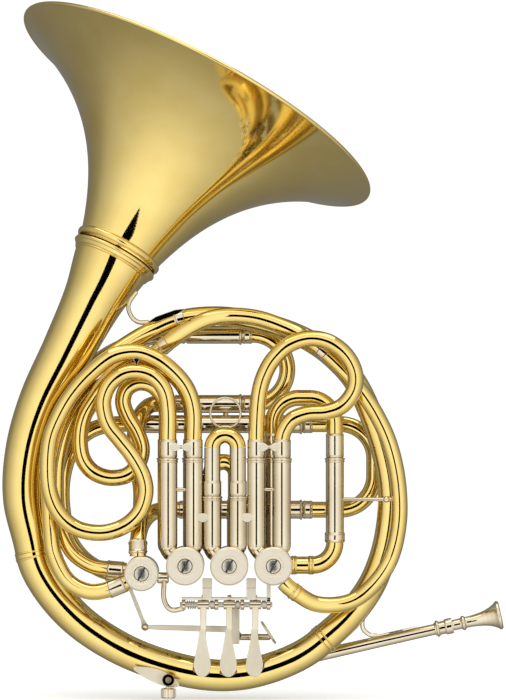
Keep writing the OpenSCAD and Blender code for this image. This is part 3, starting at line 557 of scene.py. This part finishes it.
F1_CROOK = [
    (21.4, 98), (22, 120), (24, 138), (28, 151), (35, 163), (47, 174), (63, 179), (79, 176), (92, 166),
    (99, 152), (98, 138), (89, 126), (76, 121), (62, 120), (50, 115.5), (43.5, 107), (41.4, 98)]
F3_CROOK = [
    (-28, 98), (-28, 122), (-33, 139), (-43, 152), (-57, 163), (-73, 168.5), (-92, 165), (-110, 151),
    (-124, 135), (-134, 118), (-141, 100), (-143, 78), (-141, 57), (-133, 40), (-119, 29), (-100, 26),
    (-83, 31), (-71, 42), (-66, 57), (-68, 71), (-76, 86), (-86, 99), (-94, 109), (-98, 119),
    (-99, 131), (-94, 143), (-84, 151), (-72, 153), (-60, 149), (-51, 138), (-48, 122), (-48, 98)]
B3_CROOK = [
    (-29.5, 98), (-29.5, 120), (-34, 137), (-44, 150), (-58, 159), (-72, 162), (-85, 156), (-97, 145),
    (-107, 131), (-115, 117), (-118, 101), (-116, 85), (-108, 74), (-95, 69), (-81, 71), (-72, 80),
    (-69, 92), (-73, 105), (-80, 117), (-84, 129), (-81, 139), (-72, 144), (-61, 142), (-53, 133),
    (-49.5, 120), (-49.5, 98)]


def flat_path(points, y):
    return smooth_path([(x, y, z) for x, z in points], (0, 0, 1), (0, 0, -1))


def slide_leg(name, x, y, mouth, top, depth, body, nodes, ferrule_top=None):
    """A straight inner leg with the ferrule that rests on its socket."""
    tube(name + "_leg", line_path((x, y, mouth - depth), (x, y, top), TUBE_R), NICKEL, body, nodes, sides=48)
    top = ferrule_top or top
    sleeve(name + "_ferrule", (x, y, mouth + 0.02), (0, 0, 1), top - mouth, FERRULE_R, TUBE_R - 0.02,
        NICKEL, body, 0.15)


def socket_profile(height, base):
    """An outer slide leg with two beads at its mouth."""
    bore = TUBE_R + SLIDE_FIT
    profile = [(bore, height), (bore, base), (SOCKET_R - 0.3, base), (SOCKET_R, base + 0.4),
        (SOCKET_R, height - 4.2)]
    for middle, r in ((3.1, 0.75), (1.1, 0.95)):
        profile += arc_points((SOCKET_R - 0.1, height - middle), r, -80, 160, 8)
    return profile


def socket_tube(name, x, y, foot, mouth, valve, nodes):
    """An outer slide leg with a beaded mouth and an elbow into its valve."""
    profile = socket_profile(mouth - foot, 0.5)
    revolve(name + "_socket", profile, (x, y, foot), (0, 0, 1), NICKEL, "horn", nodes, 48, 50)
    dome = [(SOCKET_R - 0.2, 0.6)] + arc_points((0.001, 0.6), SOCKET_R - 0.2, 0, -89.9, 12)
    revolve(name + "_foot", dome, (x, y, foot), (0, 0, 1), NICKEL, sides=48)
    vx, vz = VALVES[valve][:2]
    dx = (x - vx) * 0.75
    target = (vx + dx, y, vz + math.sqrt(CASING_ENTRY_R ** 2 - dx ** 2))
    bend = smooth_path([(x, y, foot + 1, 6.4), (x, y, foot - 0.5, 6.4), (*target, 6)], (0, 0, -1),
        (vx - x, 0, -9), 6)
    tube(name + "_elbow", bend, NICKEL, "horn", (), 0.8)


def make_valve_sockets():
    for key, nodes in (("1", ["valve_1_sockets"]), ("2", ["valve_2_sockets"]), ("3", ["valve_3_sockets"])):
        vx = VALVES[key][0]
        mouth = 55 if key == "2" else LONG_MOUTH
        for side, dx in zip(("left", "right"), F_LEGS):
            socket_tube(f"f{key}_{side}", vx + dx, FRONT_Y, SOCKET_FOOT, mouth, key, nodes)
        if key == "1":
            continue
        for side, dx in zip(("left", "right"), B_LEGS):
            flat_mouth = 40 if key == "2" else LONG_MOUTH
            socket_tube(f"b{key}_{side}", vx + dx, REAR_Y, SOCKET_FOOT, flat_mouth, key, nodes)
    socket_tube("b1_left", B1_LEFT, REAR_Y, SOCKET_FOOT, B1_MOUTH, "1", ["valve_1_sockets"])
    socket_tube_free("b1_right", B1_RIGHT, 18, B1_MOUTH)
    elbow = join_paths(
        line_path((42, REAR_Y, 0), (64, REAR_Y, 0), 6.9),
        arc_path((65.3, 18), REAR_Y, 18, -90, 90, 6.9),
        line_path((B1_RIGHT, REAR_Y, 18), (B1_RIGHT, REAR_Y, 20), 6.9))
    tube("b1_elbow_tube", elbow, BRASS, wall=0.9)
    for x, name in ((48.4, "inner"), (62, "outer")):
        sleeve("b1_elbow_ferrule_" + name, (x, REAR_Y, 0), (1, 0, 0), 5, 7.3, 6.9, BRASS)


def make_long_slides():
    """The first and third F slides and the third B flat slide, with their bent crooks."""
    tube("f1_crook", flat_path(F1_CROOK, FRONT_Y), BRASS, "f1_body", ["f1_slide"], sides=48)
    tube("f3_crook", flat_path(F3_CROOK, FRONT_Y), BRASS, "f3_body", ["f3_slide"], sides=48)
    tube("b3_crook", flat_path(B3_CROOK, REAR_Y), BRASS, "b3_body", ["b3_slide"], sides=48)
    for name, xs, y, body, node in (
            ("f1", F1_XS, FRONT_Y, "f1_body", "f1_slide"),
            ("f3", F3_XS, FRONT_Y, "f3_body", "f3_slide"),
            ("b3", B3_XS, REAR_Y, "b3_body", "b3_slide")):
        for side, x in zip(("left", "right"), xs):
            slide_leg(f"{name}_{side}", x, y, LONG_MOUTH, LONG_TOP + 1.5, 62, body, [node])


def make_second_slides():
    """The two short slides of the second valve."""
    for name, xs, y, mouth, top, depth, body, node in (
            ("f2", F_LEGS, FRONT_Y, 55, 93, 34, "f2_body", "f2_slide"),
            ("b2", B_LEGS, REAR_Y, 40, 71.5, 20, "b2_body", "b2_slide")):
        middle = (xs[0] + xs[1]) / 2
        crook = arc_path((middle, top), y, (xs[1] - xs[0]) / 2, 0, 180)
        tube(name + "_crook", crook, BRASS, body, [node], sides=48)
        for side, x in zip(("left", "right"), xs):
            slide_leg(f"{name}_{side}", x, y, mouth, top, depth, body, [node], mouth + 12)


def make_first_flat_slide():
    corner = 20
    corner_z = 112
    b1 = join_paths(
        line_path((B1_LEFT, REAR_Y, 100), (B1_LEFT, REAR_Y, corner_z), TUBE_R),
        arc_path((B1_LEFT + corner, corner_z), REAR_Y, corner, 180, -90),
        arc_path((B1_RIGHT - corner, corner_z), REAR_Y, corner, 90, -90),
        line_path((B1_RIGHT, REAR_Y, corner_z), (B1_RIGHT, REAR_Y, 100), TUBE_R))
    tube("b1_crook", b1, BRASS, "b1_body", ["b1_slide"], sides=48)
    for side, x in (("left", B1_LEFT), ("right", B1_RIGHT)):
        slide_leg(f"b1_{side}", x, REAR_Y, B1_MOUTH, 104, 50, "b1_body", ["b1_slide"])


def make_level_slides():
    """The tuning and extension slides, which pull towards the mouthpiece."""
    for name, mouth, corner_x, radius, heights, lefts, depth, body, node, socket_node in (
            ("tuning", 10, 18.5, 27.5, (182, 127), (-34, -34), 40, "tuning_body", "tuning_slide",
            "tuning_sockets"),
            ("extension", 58, 88, 27, (111, 43), (-70, -40), 75, "extension_body", "extension_slide",
             "extension_sockets")):
        bow = join_paths(
            line_path((mouth, FAR_Y, heights[0]), (corner_x, FAR_Y, heights[0]), TUBE_R),
            arc_path((corner_x, heights[0] - radius), FAR_Y, radius, 90, -90),
            arc_path((corner_x, heights[1] + radius), FAR_Y, radius, 0, -90),
            line_path((corner_x, FAR_Y, heights[1]), (mouth, FAR_Y, heights[1]), TUBE_R))
        tube(name + "_bow", bow, BRASS, body, [node], sides=48)
        for level, z, left in zip(("top", "bottom"), heights, lefts):
            x_end = mouth - depth
            leg = line_path((x_end, FAR_Y, z), (mouth, FAR_Y, z), TUBE_R)
            tube(f"{name}_{level}_leg", leg, NICKEL, body)
            sleeve(f"{name}_{level}_ferrule", (mouth + 0.02, FAR_Y, z), (1, 0, 0), 8, FERRULE_R,
                   TUBE_R - 0.02, NICKEL, body)
            profile = [(TUBE_R + SLIDE_FIT, 0), (SOCKET_R - 0.2, 0), (SOCKET_R, 0.3),
                (SOCKET_R, mouth - left - 4)]
            profile += arc_points((SOCKET_R - 0.1, mouth - left - 1.3), 1, -80, 160, 8)
            profile += [(TUBE_R + SLIDE_FIT, mouth - left)]
            revolve(f"{name}_{level}_socket", profile, (left, FAR_Y, z), (1, 0, 0), NICKEL, "horn",
                    [socket_node], 48, 50)


def make_pull_ring():
    centre = (-3, FRONT_Y + 5.2, 120.2)
    ring("f2_pull_ring", 12, 0.9, centre, (0, 1, 0), NICKEL, "f2_body", ["pull_ring"], 96)


def socket_tube_free(name, x, foot, mouth):
    """The outer leg that ends in an elbow tube instead of a valve."""
    profile = socket_profile(mouth - foot, 0)
    revolve(name + "_socket", profile, (x, REAR_Y, foot), (0, 0, 1), NICKEL, "horn", ["valve_1_sockets"],
        48, 50)
    sleeve(name + "_ferrule_low", (x, REAR_Y, foot), (0, 0, 1), 8, 7.9, 7.1)


# ---------------------------------------------------------------- valves

def make_valves():
    for key, (x, z, r) in VALVES.items():
        nodes = ["change_casing"] if key == "change" else [f"casing_{key}"]
        face = turned_metal(f"turned_cap_{key}", (x, z), (0.90, 0.82, 0.67), (0.98, 0.92, 0.78))
        wall = [(r - 2, -20), (r - 0.4, -20), (r, -19.6), (r, 24.6), (r - 0.4, 25), (r - 2, 25)]
        revolve(f"valve_{key}_casing", wall, (x, 0, z), (0, 1, 0), NICKEL, "horn", nodes, 96)
        cap = [(r, -20), (r + 0.2, -20.6), (r + 0.2, -22.6), (r - 0.9, -23.9), (8.4, -23.9), (8, -23.5),
               (7.2, -23.5), (6.9, -23.9), (6.1, -23.9), (5.9, -23.4), (5.9, -20)]
        revolve(f"valve_{key}_cap", cap, (x, 0, z), (0, 1, 0), face, "horn", ["valve_caps"], 96, 30)
        make_cap_screw(key, x, z)
        back = [(2.6, 25.1), (r, 25.1), (r, 27.8), (r - 0.8, 28.5), (2.6, 28.5)]
        revolve(f"valve_{key}_back_plate", back, (x, 0, z), (0, 1, 0), NICKEL, "horn", ["back_plates"], 96)


def make_cap_screw(key, x, z):
    """A domed screw with a straight slot, in the middle of a valve cap."""
    mesh = bpy.data.meshes.new("screw")
    form = bmesh.new()
    angle = math.radians(62)
    along = Vector((math.cos(angle), math.sin(angle)))
    across = Vector((-along.y, along.x))
    half_slot = 0.85
    for sign in (-1, 1):
        rim = []
        limit = math.asin(half_slot / 5.6)
        for i in range(33):
            a = limit + (math.pi - 2 * limit) * i / 32
            p = along * (5.6 * math.cos(a)) + across * (5.6 * math.sin(a) * sign)
            rim.append(p)
        rows = []
        for scale, y in ((1, -20.4), (1, -22.6), (0.93, -23.1), (0.8, -23.3)):
            row = []
            for p in rim:
                q = p * scale
                d = q.dot(across) * sign
                if d < half_slot:
                    q = q + across * sign * (half_slot - d)
                row.append(form.verts.new(((x + q.x) * MM, y * MM, (z + q.y) * MM)))
            rows.append(row)
        for low, high in zip(rows, rows[1:]):
            for i in range(len(rim)):
                j = (i + 1) % len(rim)
                form.faces.new((low[i], low[j], high[j], high[i]))
        form.faces.new(rows[0])
        form.faces.new(rows[-1])
    base = [form.verts.new(((x + 5.7 * math.cos(2 * math.pi * i / 48)) * MM, y * MM,
                            (z + 5.7 * math.sin(2 * math.pi * i / 48)) * MM)) for y in (-20.4, -21.6)
            for i in range(48)]
    for i in range(48):
        j = (i + 1) % 48
        form.faces.new((base[i], base[j], base[48 + j], base[48 + i]))
    form.faces.new(base[:48])
    form.faces.new(base[48:])
    bmesh.ops.recalc_face_normals(form, faces=form.faces)
    form.to_mesh(mesh)
    form.free()
    finish_piece(f"valve_{key}_screw", mesh, STEEL, "horn", ["cap_screws"], 30)


# ---------------------------------------------------------------- braces

LEG_SIDE = 7         # from a leg's middle to where a brace meets it


def ball_rod(name, points, r, body="horn", nodes=()):
    """A bent round rod through points."""
    first = Vector(points[1]) - Vector(points[0])
    last = Vector(points[-1]) - Vector(points[-2])
    tube(name, smooth_path([(*p, r) for p in points], first, last, 8), NICKEL, body, nodes, r - 0.2, 20)


def diamond_brace(name, x0, x1, y, z, body):
    """A rod between two legs with a leaf-shaped flange lying on each leg."""
    leaf = soften([(-6, 0), (0, 4.2), (6, 0), (0, -4.2)], 1)
    ball_rod(name + "_rod", [(x0, y - 3, z), (x1, y - 3, z)], 1.5, body)
    for side, x in (("left", x0 - 2.2), ("right", x1 + 2.2)):
        plate(f"{name}_{side}_flange", leaf, 2.6, upright(x, y - 5.6, z), SATIN, body, (), 0.5)


def make_braces():
    kite = soften([(-6.6, 0), (0, 4.6), (6.6, 0), (0, -4.6)], 1)
    for name, x in (("low_brace_a", -20.65), ("low_brace_b", 14.05)):
        plate(name, kite, 2.2, upright(x, FRONT_Y - 5.6, 38), SATIN, "horn", ["slide_braces"], 0.5)
    knuckle = [(0.001, -57), (3.4, -57), (4.4, -56), (4.4, -48.8), (3.4, -47.8), (0.001, -47.8)]
    revolve("change_knuckle", knuckle, (0, REAR_Y, -10), (1, 0, 0), NICKEL, sides=40)
    flange = [(-3, 0), (3, 0), (0, 6)]
    for side, z, up in (("low", 154.5, 1), ("high", 163.5, -1)):
        place = place_at((-73, FRONT_Y - 3, z), (1, 0, 0), (0, 0, up))
        plate(f"f3_limb_{side}_flange", flange, 1.2, place, NICKEL, "f3_body", (), 0.3)
    ball_rod("f3_limb_rod", [(-73, FRONT_Y, 156), (-73, FRONT_Y, 163)], 1.2, "f3_body")
    spans = {key: (xs[0] + LEG_SIDE, xs[1] - LEG_SIDE) for key, xs in (("f3", F3_XS), ("f1", F1_XS))}
    for key, (x0, x1) in spans.items():
        diamond_brace(f"{key}_ferrule_brace", x0, x1, FRONT_Y, 93.5, f"{key}_body")
    for key, (x0, x1) in spans.items():
        ball_rod(f"{key}_leg_brace", [(x0, FRONT_Y, 60), (x1, FRONT_Y, 60)], 1.5)
    ball_rod("ring_rod", [(B1_RIGHT + 6, 3.5, 52), (128, 3.5, 52)], 1.5, "horn", ["ring_brace"])
    ball = arc_points((0.001, 0), 2.6, -90, 180, 16)
    revolve("ring_rod_ball", ball, (124, 1.5, 52), (1, 0, 0), NICKEL, sides=32)
    ball_rod("tuning_brace_rod", [(-3, FAR_Y, 118), (-3, FAR_Y, 120)], 2.2)
    rod = [(-74, 27, 216), (-80, 25, 206), (-78, 24, 197), (-72, 23, 192), (-64, 22, 192)]
    ball_rod("bell_brace_rod", rod, 1.8, nodes=["bell_brace"])
    leaf = [(-17, 0), (-8, 2.3), (8, 2.3), (17, 0), (8, -2.3), (-8, -2.3)]
    plate("bell_brace_flange", leaf, 1.4, place_at((-50, 17, 197), (0.94, 0, 0.34), (0, 0, 1)), NICKEL)
    rod = [(116, 22, -22), (111, 26, -32), (106, 30, -43), (106, 32, -51), (111, 33, -56), (118, 34, -56.8)]
    ball_rod("leadpipe_brace_rod", rod, 1.8, nodes=["leadpipe_brace"])
    plate("leadpipe_brace_flange", leaf, 1.4, place_at((133, 32, -53.5), LEAD_AXIS, (0, 1, 0)), NICKEL)


# ---------------------------------------------------------------- levers

AXLE = (-2, -31)
LEVER_X = {"1": 20.5, "2": 0, "3": -20.5}
RACK_LUGS = (-36, -10.25, 10.25, 31)
THUMB = (5, 31, -57)
BALL = (-67, 31, -50)
LINK_Y = 36.4
HOOK_SOCKET = (-48, -90)
KNURLS = 20


def paddle_outline():
    """A spoon-shaped finger plate, narrow at the top."""
    half = [(2.3, 24), (2.7, 20), (3.4, 14.5), (4.3, 9.5), (5.2, 5), (6.1, 1), (6.7, -2.4), (6.7, -5.4),
            (6.1, -8.4), (4.9, -10.8), (3.3, -12.5), (1.6, -13.4)]
    return half + [(0, -13.6)] + [(-x, z) for x, z in reversed(half)]


def make_levers():
    for key, x in LEVER_X.items():
        body = f"lever_{key}_body"
        node = [f"finger_lever_{key}"]
        hub = [(2.05, -4.5), (3.3, -4.5), (3.6, -4.2), (3.6, 4.2), (3.3, 4.5), (2.05, 4.5)]
        revolve(f"lever_{key}_hub", hub, (x, *AXLE), (1, 0, 0), NICKEL, body, node, 40)
        lean = math.radians(17)
        shank = [(-2.5, 0), (2.5, 0), (2.2, -27), (-2.2, -27)]
        place = place_at((x, AXLE[0] - 1.2, AXLE[1]), (1, 0, 0), (0, math.sin(lean), math.cos(lean)))
        plate(f"lever_{key}_shank", shank, 2.2, place, SATIN, body, node, 0.5)
        plate(f"lever_{key}_paddle", paddle_outline(), 1.9,
              upright(x - 0.7, AXLE[0] - 9.6, AXLE[1] - 43), SATIN, body, node, 0.7, 4)
        arm = [(0, -2.3), (33, -1.6), (33, 0.8), (0, 1)]
        place = place_at((x, *AXLE), (0, 1, 0), (0, 0, 1))
        plate(f"lever_{key}_arm", arm, 3.6, place, NICKEL, body, node, 0.4)
        post = [(0.001, -0.8), (1.6, -0.8), (1.6, 5.4), (1.1, 6), (0.001, 6)]
        top = (x, AXLE[0] + 31, AXLE[1] + 0.5)
        revolve(f"lever_{key}_post", post, top, (0, 0, 1), NICKEL, body, node, 32)


def box_outline(x0, x1, z0, z1):
    return [(x0, z0), (x1, z0), (x1, z1), (x0, z1)]


def rod_profile(x0, x1, r, edge=0.5):
    return [(0.001, x0), (r - edge, x0), (r, x0 + edge), (r, x1 - edge), (r - edge, x1), (0.001, x1)]


def coil(name, x0, x1, r, turns):
    """A spring wound around the finger levers' axle."""
    steps = turns * 16
    path = []
    for i in range(steps + 1):
        angle = 2 * math.pi * i * turns / steps
        path.append((x0 + (x1 - x0) * i / steps, AXLE[0] + r * math.cos(angle),
            AXLE[1] + r * math.sin(angle), 0.45))
    tube(name, np.array(path), STEEL, wall=0.4, sides=8)


def make_rack():
    """The hinge frame that carries the finger levers, hung from two straps."""
    node = ["lever_rack"]
    y, z = AXLE
    for i, x in enumerate(RACK_LUGS):
        lug = [(2.06, x - 1.5), (3.6, x - 1.5), (4, x - 1.1), (4, x + 1.1), (3.6, x + 1.5), (2.06, x + 1.5)]
        revolve(f"rack_lug_{i}", lug, (0, y, z), (1, 0, 0), NICKEL, "horn", node, 40)
    plate("rack_bar", box_outline(RACK_LUGS[0] - 1.5, RACK_LUGS[-1] + 1.5, 0, 2), 6, upright(0, y, z + 4),
          SATIN, "horn", node, 0.4)
    for side, x in (("left", -17.35), ("right", 17.35)):
        strap = box_outline(-3.7, 3.7, -27, -10)
        plate(f"rack_strap_{side}", strap, 2.4, upright(x, y - 4, 0), SATIN, "horn", node, 0.5)
        seam = rod_profile(-3.7, 3.7, 0.5, 0.1)
        revolve(f"rack_seam_{side}", seam, (x, y - 5.1, -17.6), (1, 0, 0), STEEL, sides=16)
    plate("rack_post", box_outline(29.5, 32.5, -27, -12), 6, upright(0, y, 0), SATIN, "horn", node, 0.4)
    rod = [(-51.5, 1, -12), (-51.5, 1, -27), (-46, 0, -35), (RACK_LUGS[0], y, -34)]
    ball_rod("rack_rod", rod, 2, "horn", node)
    for i, (left, right) in enumerate(((-33.5, -26.5), (-15, -12), (5.5, 8), (26, 29))):
        coil(f"lever_spring_{i}", left, right, 3, 4)


def make_thumb_lever():
    node = ["thumb_lever"]
    x, y, z = THUMB
    hub = [(2.06, -3), (4.1, -3), (4.5, -2.6), (4.5, 2.6), (4.1, 3), (2.06, 3)]
    revolve("thumb_hub", hub, THUMB, (0, 1, 0), NICKEL, "thumb_body", node, 48)
    bar = [(-71, 5.6), (-70, 8.4), (-60, 8.6), (-2, 7.6), (2, 4), (2, -0.5), (-2, 2.6), (-60, 4.8)]
    plate("thumb_bar", bar, 2, upright(x, y, z), SATIN, "thumb_body", node, 0.4)
    axle = [(0.001, 0), (2, 0), (2.6, 0.7), (2.6, 11), (2.9, 11.5), (2.9, 13), (2.6, 13.5), (2.6, 26),
            (2, 27.6), (0.001, 28)]
    revolve("thumb_rod", axle, (x, y, z - 1), (1, 0, 0), NICKEL, "thumb_body", node, 40)
    ball = arc_points((0.001, 0), 3, -89.9, 179.8, 20)
    revolve("thumb_ball", ball, BALL, (0, 1, 0), NICKEL, "thumb_body", node, 32)
    touch = soften([(-10.5, -4), (-6, -8), (6, -8), (10.5, -4), (10.5, 4), (6, 8), (-6, 8), (-10.5, 4)])
    tilt = math.radians(-33)
    place = place_at((x + 26, y + 3, z + 2.5), (-math.sin(tilt), 0, -math.cos(tilt)), (0, 1, 0))
    plate("thumb_touch", touch, 1.8, place, SATIN, "thumb_body", node, 0.6)
    revolve("thumb_pin", rod_profile(-10, 4, 2), THUMB, (0, 1, 0), STEEL, "horn", ["thumb_post"], 32)
    plate("thumb_bracket", box_outline(-3, 3, -6, 26), 3, upright(x, y - 11.5, z), SATIN, "horn",
        ["thumb_post"], 0.5)


def make_change_link():
    """A waisted bar with a round eye over the lever's ball and one over the valve's arm."""
    node = ["change_link"]
    ball, pin = Vector(BALL), Vector((-80, BALL[1], -17))
    along = pin - ball
    length = along.length
    half = [(2.4, 0), (2.2, 2), (1.3, 6), (1.5, length / 2), (1.3, length - 6), (2.2, length - 2),
        (2.4, length)]
    low_end = [(1.7, -1.7), (0, -2.4), (-1.7, -1.7)]
    high_end = [(-1.7, length + 1.7), (0, length + 2.4), (1.7, length + 1.7)]
    outline = half + [(-x, z) for x, z in high_end] + [(-x, z) for x, z in reversed(half)] + [
        (-x, z) for x, z in low_end]
    origin = (ball.x, LINK_Y, ball.z)
    plate("change_link_bar", outline, 2, place_at(origin, along.cross(Vector((0, 1, 0))), along), SATIN,
          "link_body", node, 0.4)
    for name, at in (("low", ball), ("high", pin)):
        cap = [(0.001, -2.2), (1, -2.2), (1.6, -1.6), (1.6, -0.8), (0.001, -0.8)]
        revolve(f"change_link_{name}_screw", cap, (at.x, LINK_Y, at.z), (0, 1, 0), STEEL, "link_body",
            sides=32)


def make_hook_mount():
    """The plate, socket and clamp screw for a little-finger hook."""
    leaf = [(-79, -79.6), (-62.6, -80.2), (-50, -83.7), (-38.4, -93.4), (-41, -96.8), (-51.8, -95.5),
        (-68, -88.5)]
    middle_x, middle_z = -57, -88
    outline = soften([(x - middle_x, z - middle_z) for x, z in leaf], 2)
    plate("hook_leaf", outline, 2, upright(middle_x, 0.4, middle_z), SATIN, "horn", ["hook_plate"], 0.6)
    x, z = HOOK_SOCKET
    wall = [(2.45, 0), (4.6, 0), (5, 0.4), (5, 9.4), (4.6, 9.8), (2.45, 9.8)]
    revolve("hook_collar", wall, (x, -10.5, z), (0, 1, 0), NICKEL, "horn", ["hook_socket"], 48)
    knob = [(0.001, 0), (4.9, 0), (5.7, 0.8), (5.7, 7.2), (4.9, 8), (2.2, 8)]
    base = (x, -6, z - 14.5)
    revolve("hook_knob", knob, base, (0, 0, 1), NICKEL, "screw_body", ["hook_screw"], 64)
    stem = [(0.001, 7.5), (2.2, 7.5), (2.2, 9), (0.001, 9)]
    revolve("hook_knob_stem", stem, base, (0, 0, 1), NICKEL, "screw_body", ["hook_screw"], 24)
    for i in range(KNURLS):
        angle = 2 * math.pi * i / KNURLS
        at = (x + 5.6 * math.cos(angle), -6 + 5.6 * math.sin(angle), base[2])
        revolve(f"hook_knurl_{i}", rod_profile(0.9, 7.1, 0.35, 0.1), at, (0, 0, 1), NICKEL, "screw_body",
            sides=8)


def polish_carried_nodes():
    """Gives every CAD node that still shows a procedural metal."""
    chosen = {"yellow_brass": BRASS, "nickel_silver": SATIN, "steel": STEEL}
    slots = {s["node"]: s["material_slot"] for s in frame["record"]["subparts"]}
    for name, node in frame["nodes"].items():
        node.data.materials.clear()
        node.data.materials.append(chosen[slots[name]])


# ---------------------------------------------------------------- studio

TENT_FRONT = [(0, 0.14), (0.28, 0.24), (0.45, 0.42), (0.66, 0.58), (0.86, 0.9), (1, 1.06)]
TENT_HEIGHT = [(0, 1.0), (0.3, 1.05), (0.5, 1.1), (0.72, 1.1), (0.86, 1.0), (1, 1.15)]
TENT_STRENGTH = 1.3
GAP_SHIFT = 0.01
GAP_HALF_WIDTH = 0.17
GAP_HALF_HEIGHT = 0.28
FLOOR_R = 1.2
FLOOR_GAP = 0.002
LAMP_AT = (0, -0.2, 2.2)
LAMP_WATTS = 22


def make_studio():
    low = cad_box[0]
    bpy.ops.mesh.primitive_circle_add(vertices=96, radius=FLOOR_R, fill_type="NGON",
        location=(0, 0, low.z - FLOOR_GAP))
    floor = bpy.context.object
    floor.name = "floor"
    material, tree, shader = new_material("pale_floor")
    tone = ramp(tree, add_noise(tree, 3), (0.90, 0.90, 0.90), (0.93, 0.93, 0.93))
    tree.links.new(tone, shader.inputs["Base Color"])
    shader.inputs["Roughness"].default_value = 0.9
    shader.inputs["Specular IOR Level"].default_value = 0.1
    shader.inputs["Emission Color"].default_value = (1, 1, 1, 1)
    shader.inputs["Emission Strength"].default_value = 0.45
    floor.data.materials.append(material)
    floor.visible_glossy = False
    lamp = bpy.data.lights.new("top", "AREA")
    lamp.shape = "RECTANGLE"
    lamp.size, lamp.size_y = (2.4, 1.8)
    lamp.energy = LAMP_WATTS
    holder = bpy.data.objects.new("top", lamp)
    holder.location = LAMP_AT
    bpy.context.scene.collection.objects.link(holder)


def make_world():
    """White to the camera. Reflections show a tent, brightest in front, with a narrow dark gap."""
    world = bpy.data.worlds.new("tent")
    world.use_nodes = True
    bpy.context.scene.world = world
    tree = world.node_tree
    nodes, links = tree.nodes, tree.links
    for node in list(nodes):
        nodes.remove(node)

    def math_node(kind, a, b=None):
        node = nodes.new("ShaderNodeMath")
        node.operation = kind
        for slot_index, value in enumerate((a, b)):
            if value is None:
                continue
            if isinstance(value, (int, float)):
                node.inputs[slot_index].default_value = value
            else:
                links.new(value, node.inputs[slot_index])
        return node.outputs[0]

    def grey_ramp(value, stops):
        node = nodes.new("ShaderNodeValToRGB")
        node.color_ramp.interpolation = "B_SPLINE"
        marks = node.color_ramp.elements
        while len(marks) < len(stops):
            marks.new(0.5)
        for mark, (at, grey) in zip(marks, stops):
            mark.position = at
            mark.color = (grey, grey, grey, 1)
        links.new(math_node("ADD", math_node("MULTIPLY", value, 0.5), 0.5), node.inputs["Fac"])
        return node.outputs["Color"]

    coords = nodes.new("ShaderNodeTexCoord")
    parts = nodes.new("ShaderNodeSeparateXYZ")
    links.new(coords.outputs["Generated"], parts.inputs["Vector"])
    x, y, z = parts.outputs
    front = grey_ramp(math_node("MULTIPLY", y, -1), TENT_FRONT)
    height = grey_ramp(z, TENT_HEIGHT)
    in_gap = math_node("LESS_THAN", math_node("ABSOLUTE", math_node("ADD", x, GAP_SHIFT)), GAP_HALF_WIDTH)
    in_height = math_node("LESS_THAN", math_node("ABSOLUTE", z), GAP_HALF_HEIGHT)
    in_front = math_node("LESS_THAN", y, 0)
    gap = math_node("MULTIPLY", math_node("MULTIPLY", in_gap, in_height), in_front)
    level = math_node("MULTIPLY", math_node("MULTIPLY", front, height), math_node("SUBTRACT", 1, gap))
    level = math_node("MULTIPLY", level, TENT_STRENGTH)
    tent = nodes.new("ShaderNodeBackground")
    tent.inputs["Color"].default_value = (1, 0.99, 0.96, 1)
    links.new(level, tent.inputs["Strength"])
    white = nodes.new("ShaderNodeBackground")
    white.inputs["Color"].default_value = (1, 1, 1, 1)
    white.inputs["Strength"].default_value = 1.05
    path = nodes.new("ShaderNodeLightPath")
    mix = nodes.new("ShaderNodeMixShader")
    links.new(path.outputs["Is Camera Ray"], mix.inputs["Fac"])
    links.new(tent.outputs["Background"], mix.inputs[1])
    links.new(white.outputs["Background"], mix.inputs[2])
    output = nodes.new("ShaderNodeOutputWorld")
    links.new(mix.outputs["Shader"], output.inputs["Surface"])


def make_camera():
    distance = 5.0
    centre = Vector((0.0187, 0, 0.1699))
    seen_height = 0.5523
    camera = bpy.data.cameras.new("camera")
    camera.sensor_fit = "VERTICAL"
    camera.sensor_height = 36
    camera.lens = camera.sensor_height * distance / seen_height
    camera.clip_end = 60
    holder = bpy.data.objects.new("camera", camera)
    holder.location = centre + Vector((0, -distance, 0))
    holder.rotation_euler = (math.radians(90), 0, 0)
    bpy.context.scene.collection.objects.link(holder)
    bpy.context.scene.camera = holder
    bpy.context.scene.view_settings.view_transform = "Standard"


make_bell()
make_main_tubing()
make_mouthpiece()
make_valve_sockets()
make_long_slides()
make_second_slides()
make_first_flat_slide()
make_level_slides()
make_pull_ring()
make_valves()
make_braces()
make_levers()
make_rack()
make_thumb_lever()
make_change_link()
make_hook_mount()
polish_carried_nodes()
make_studio()
make_world()
make_camera()
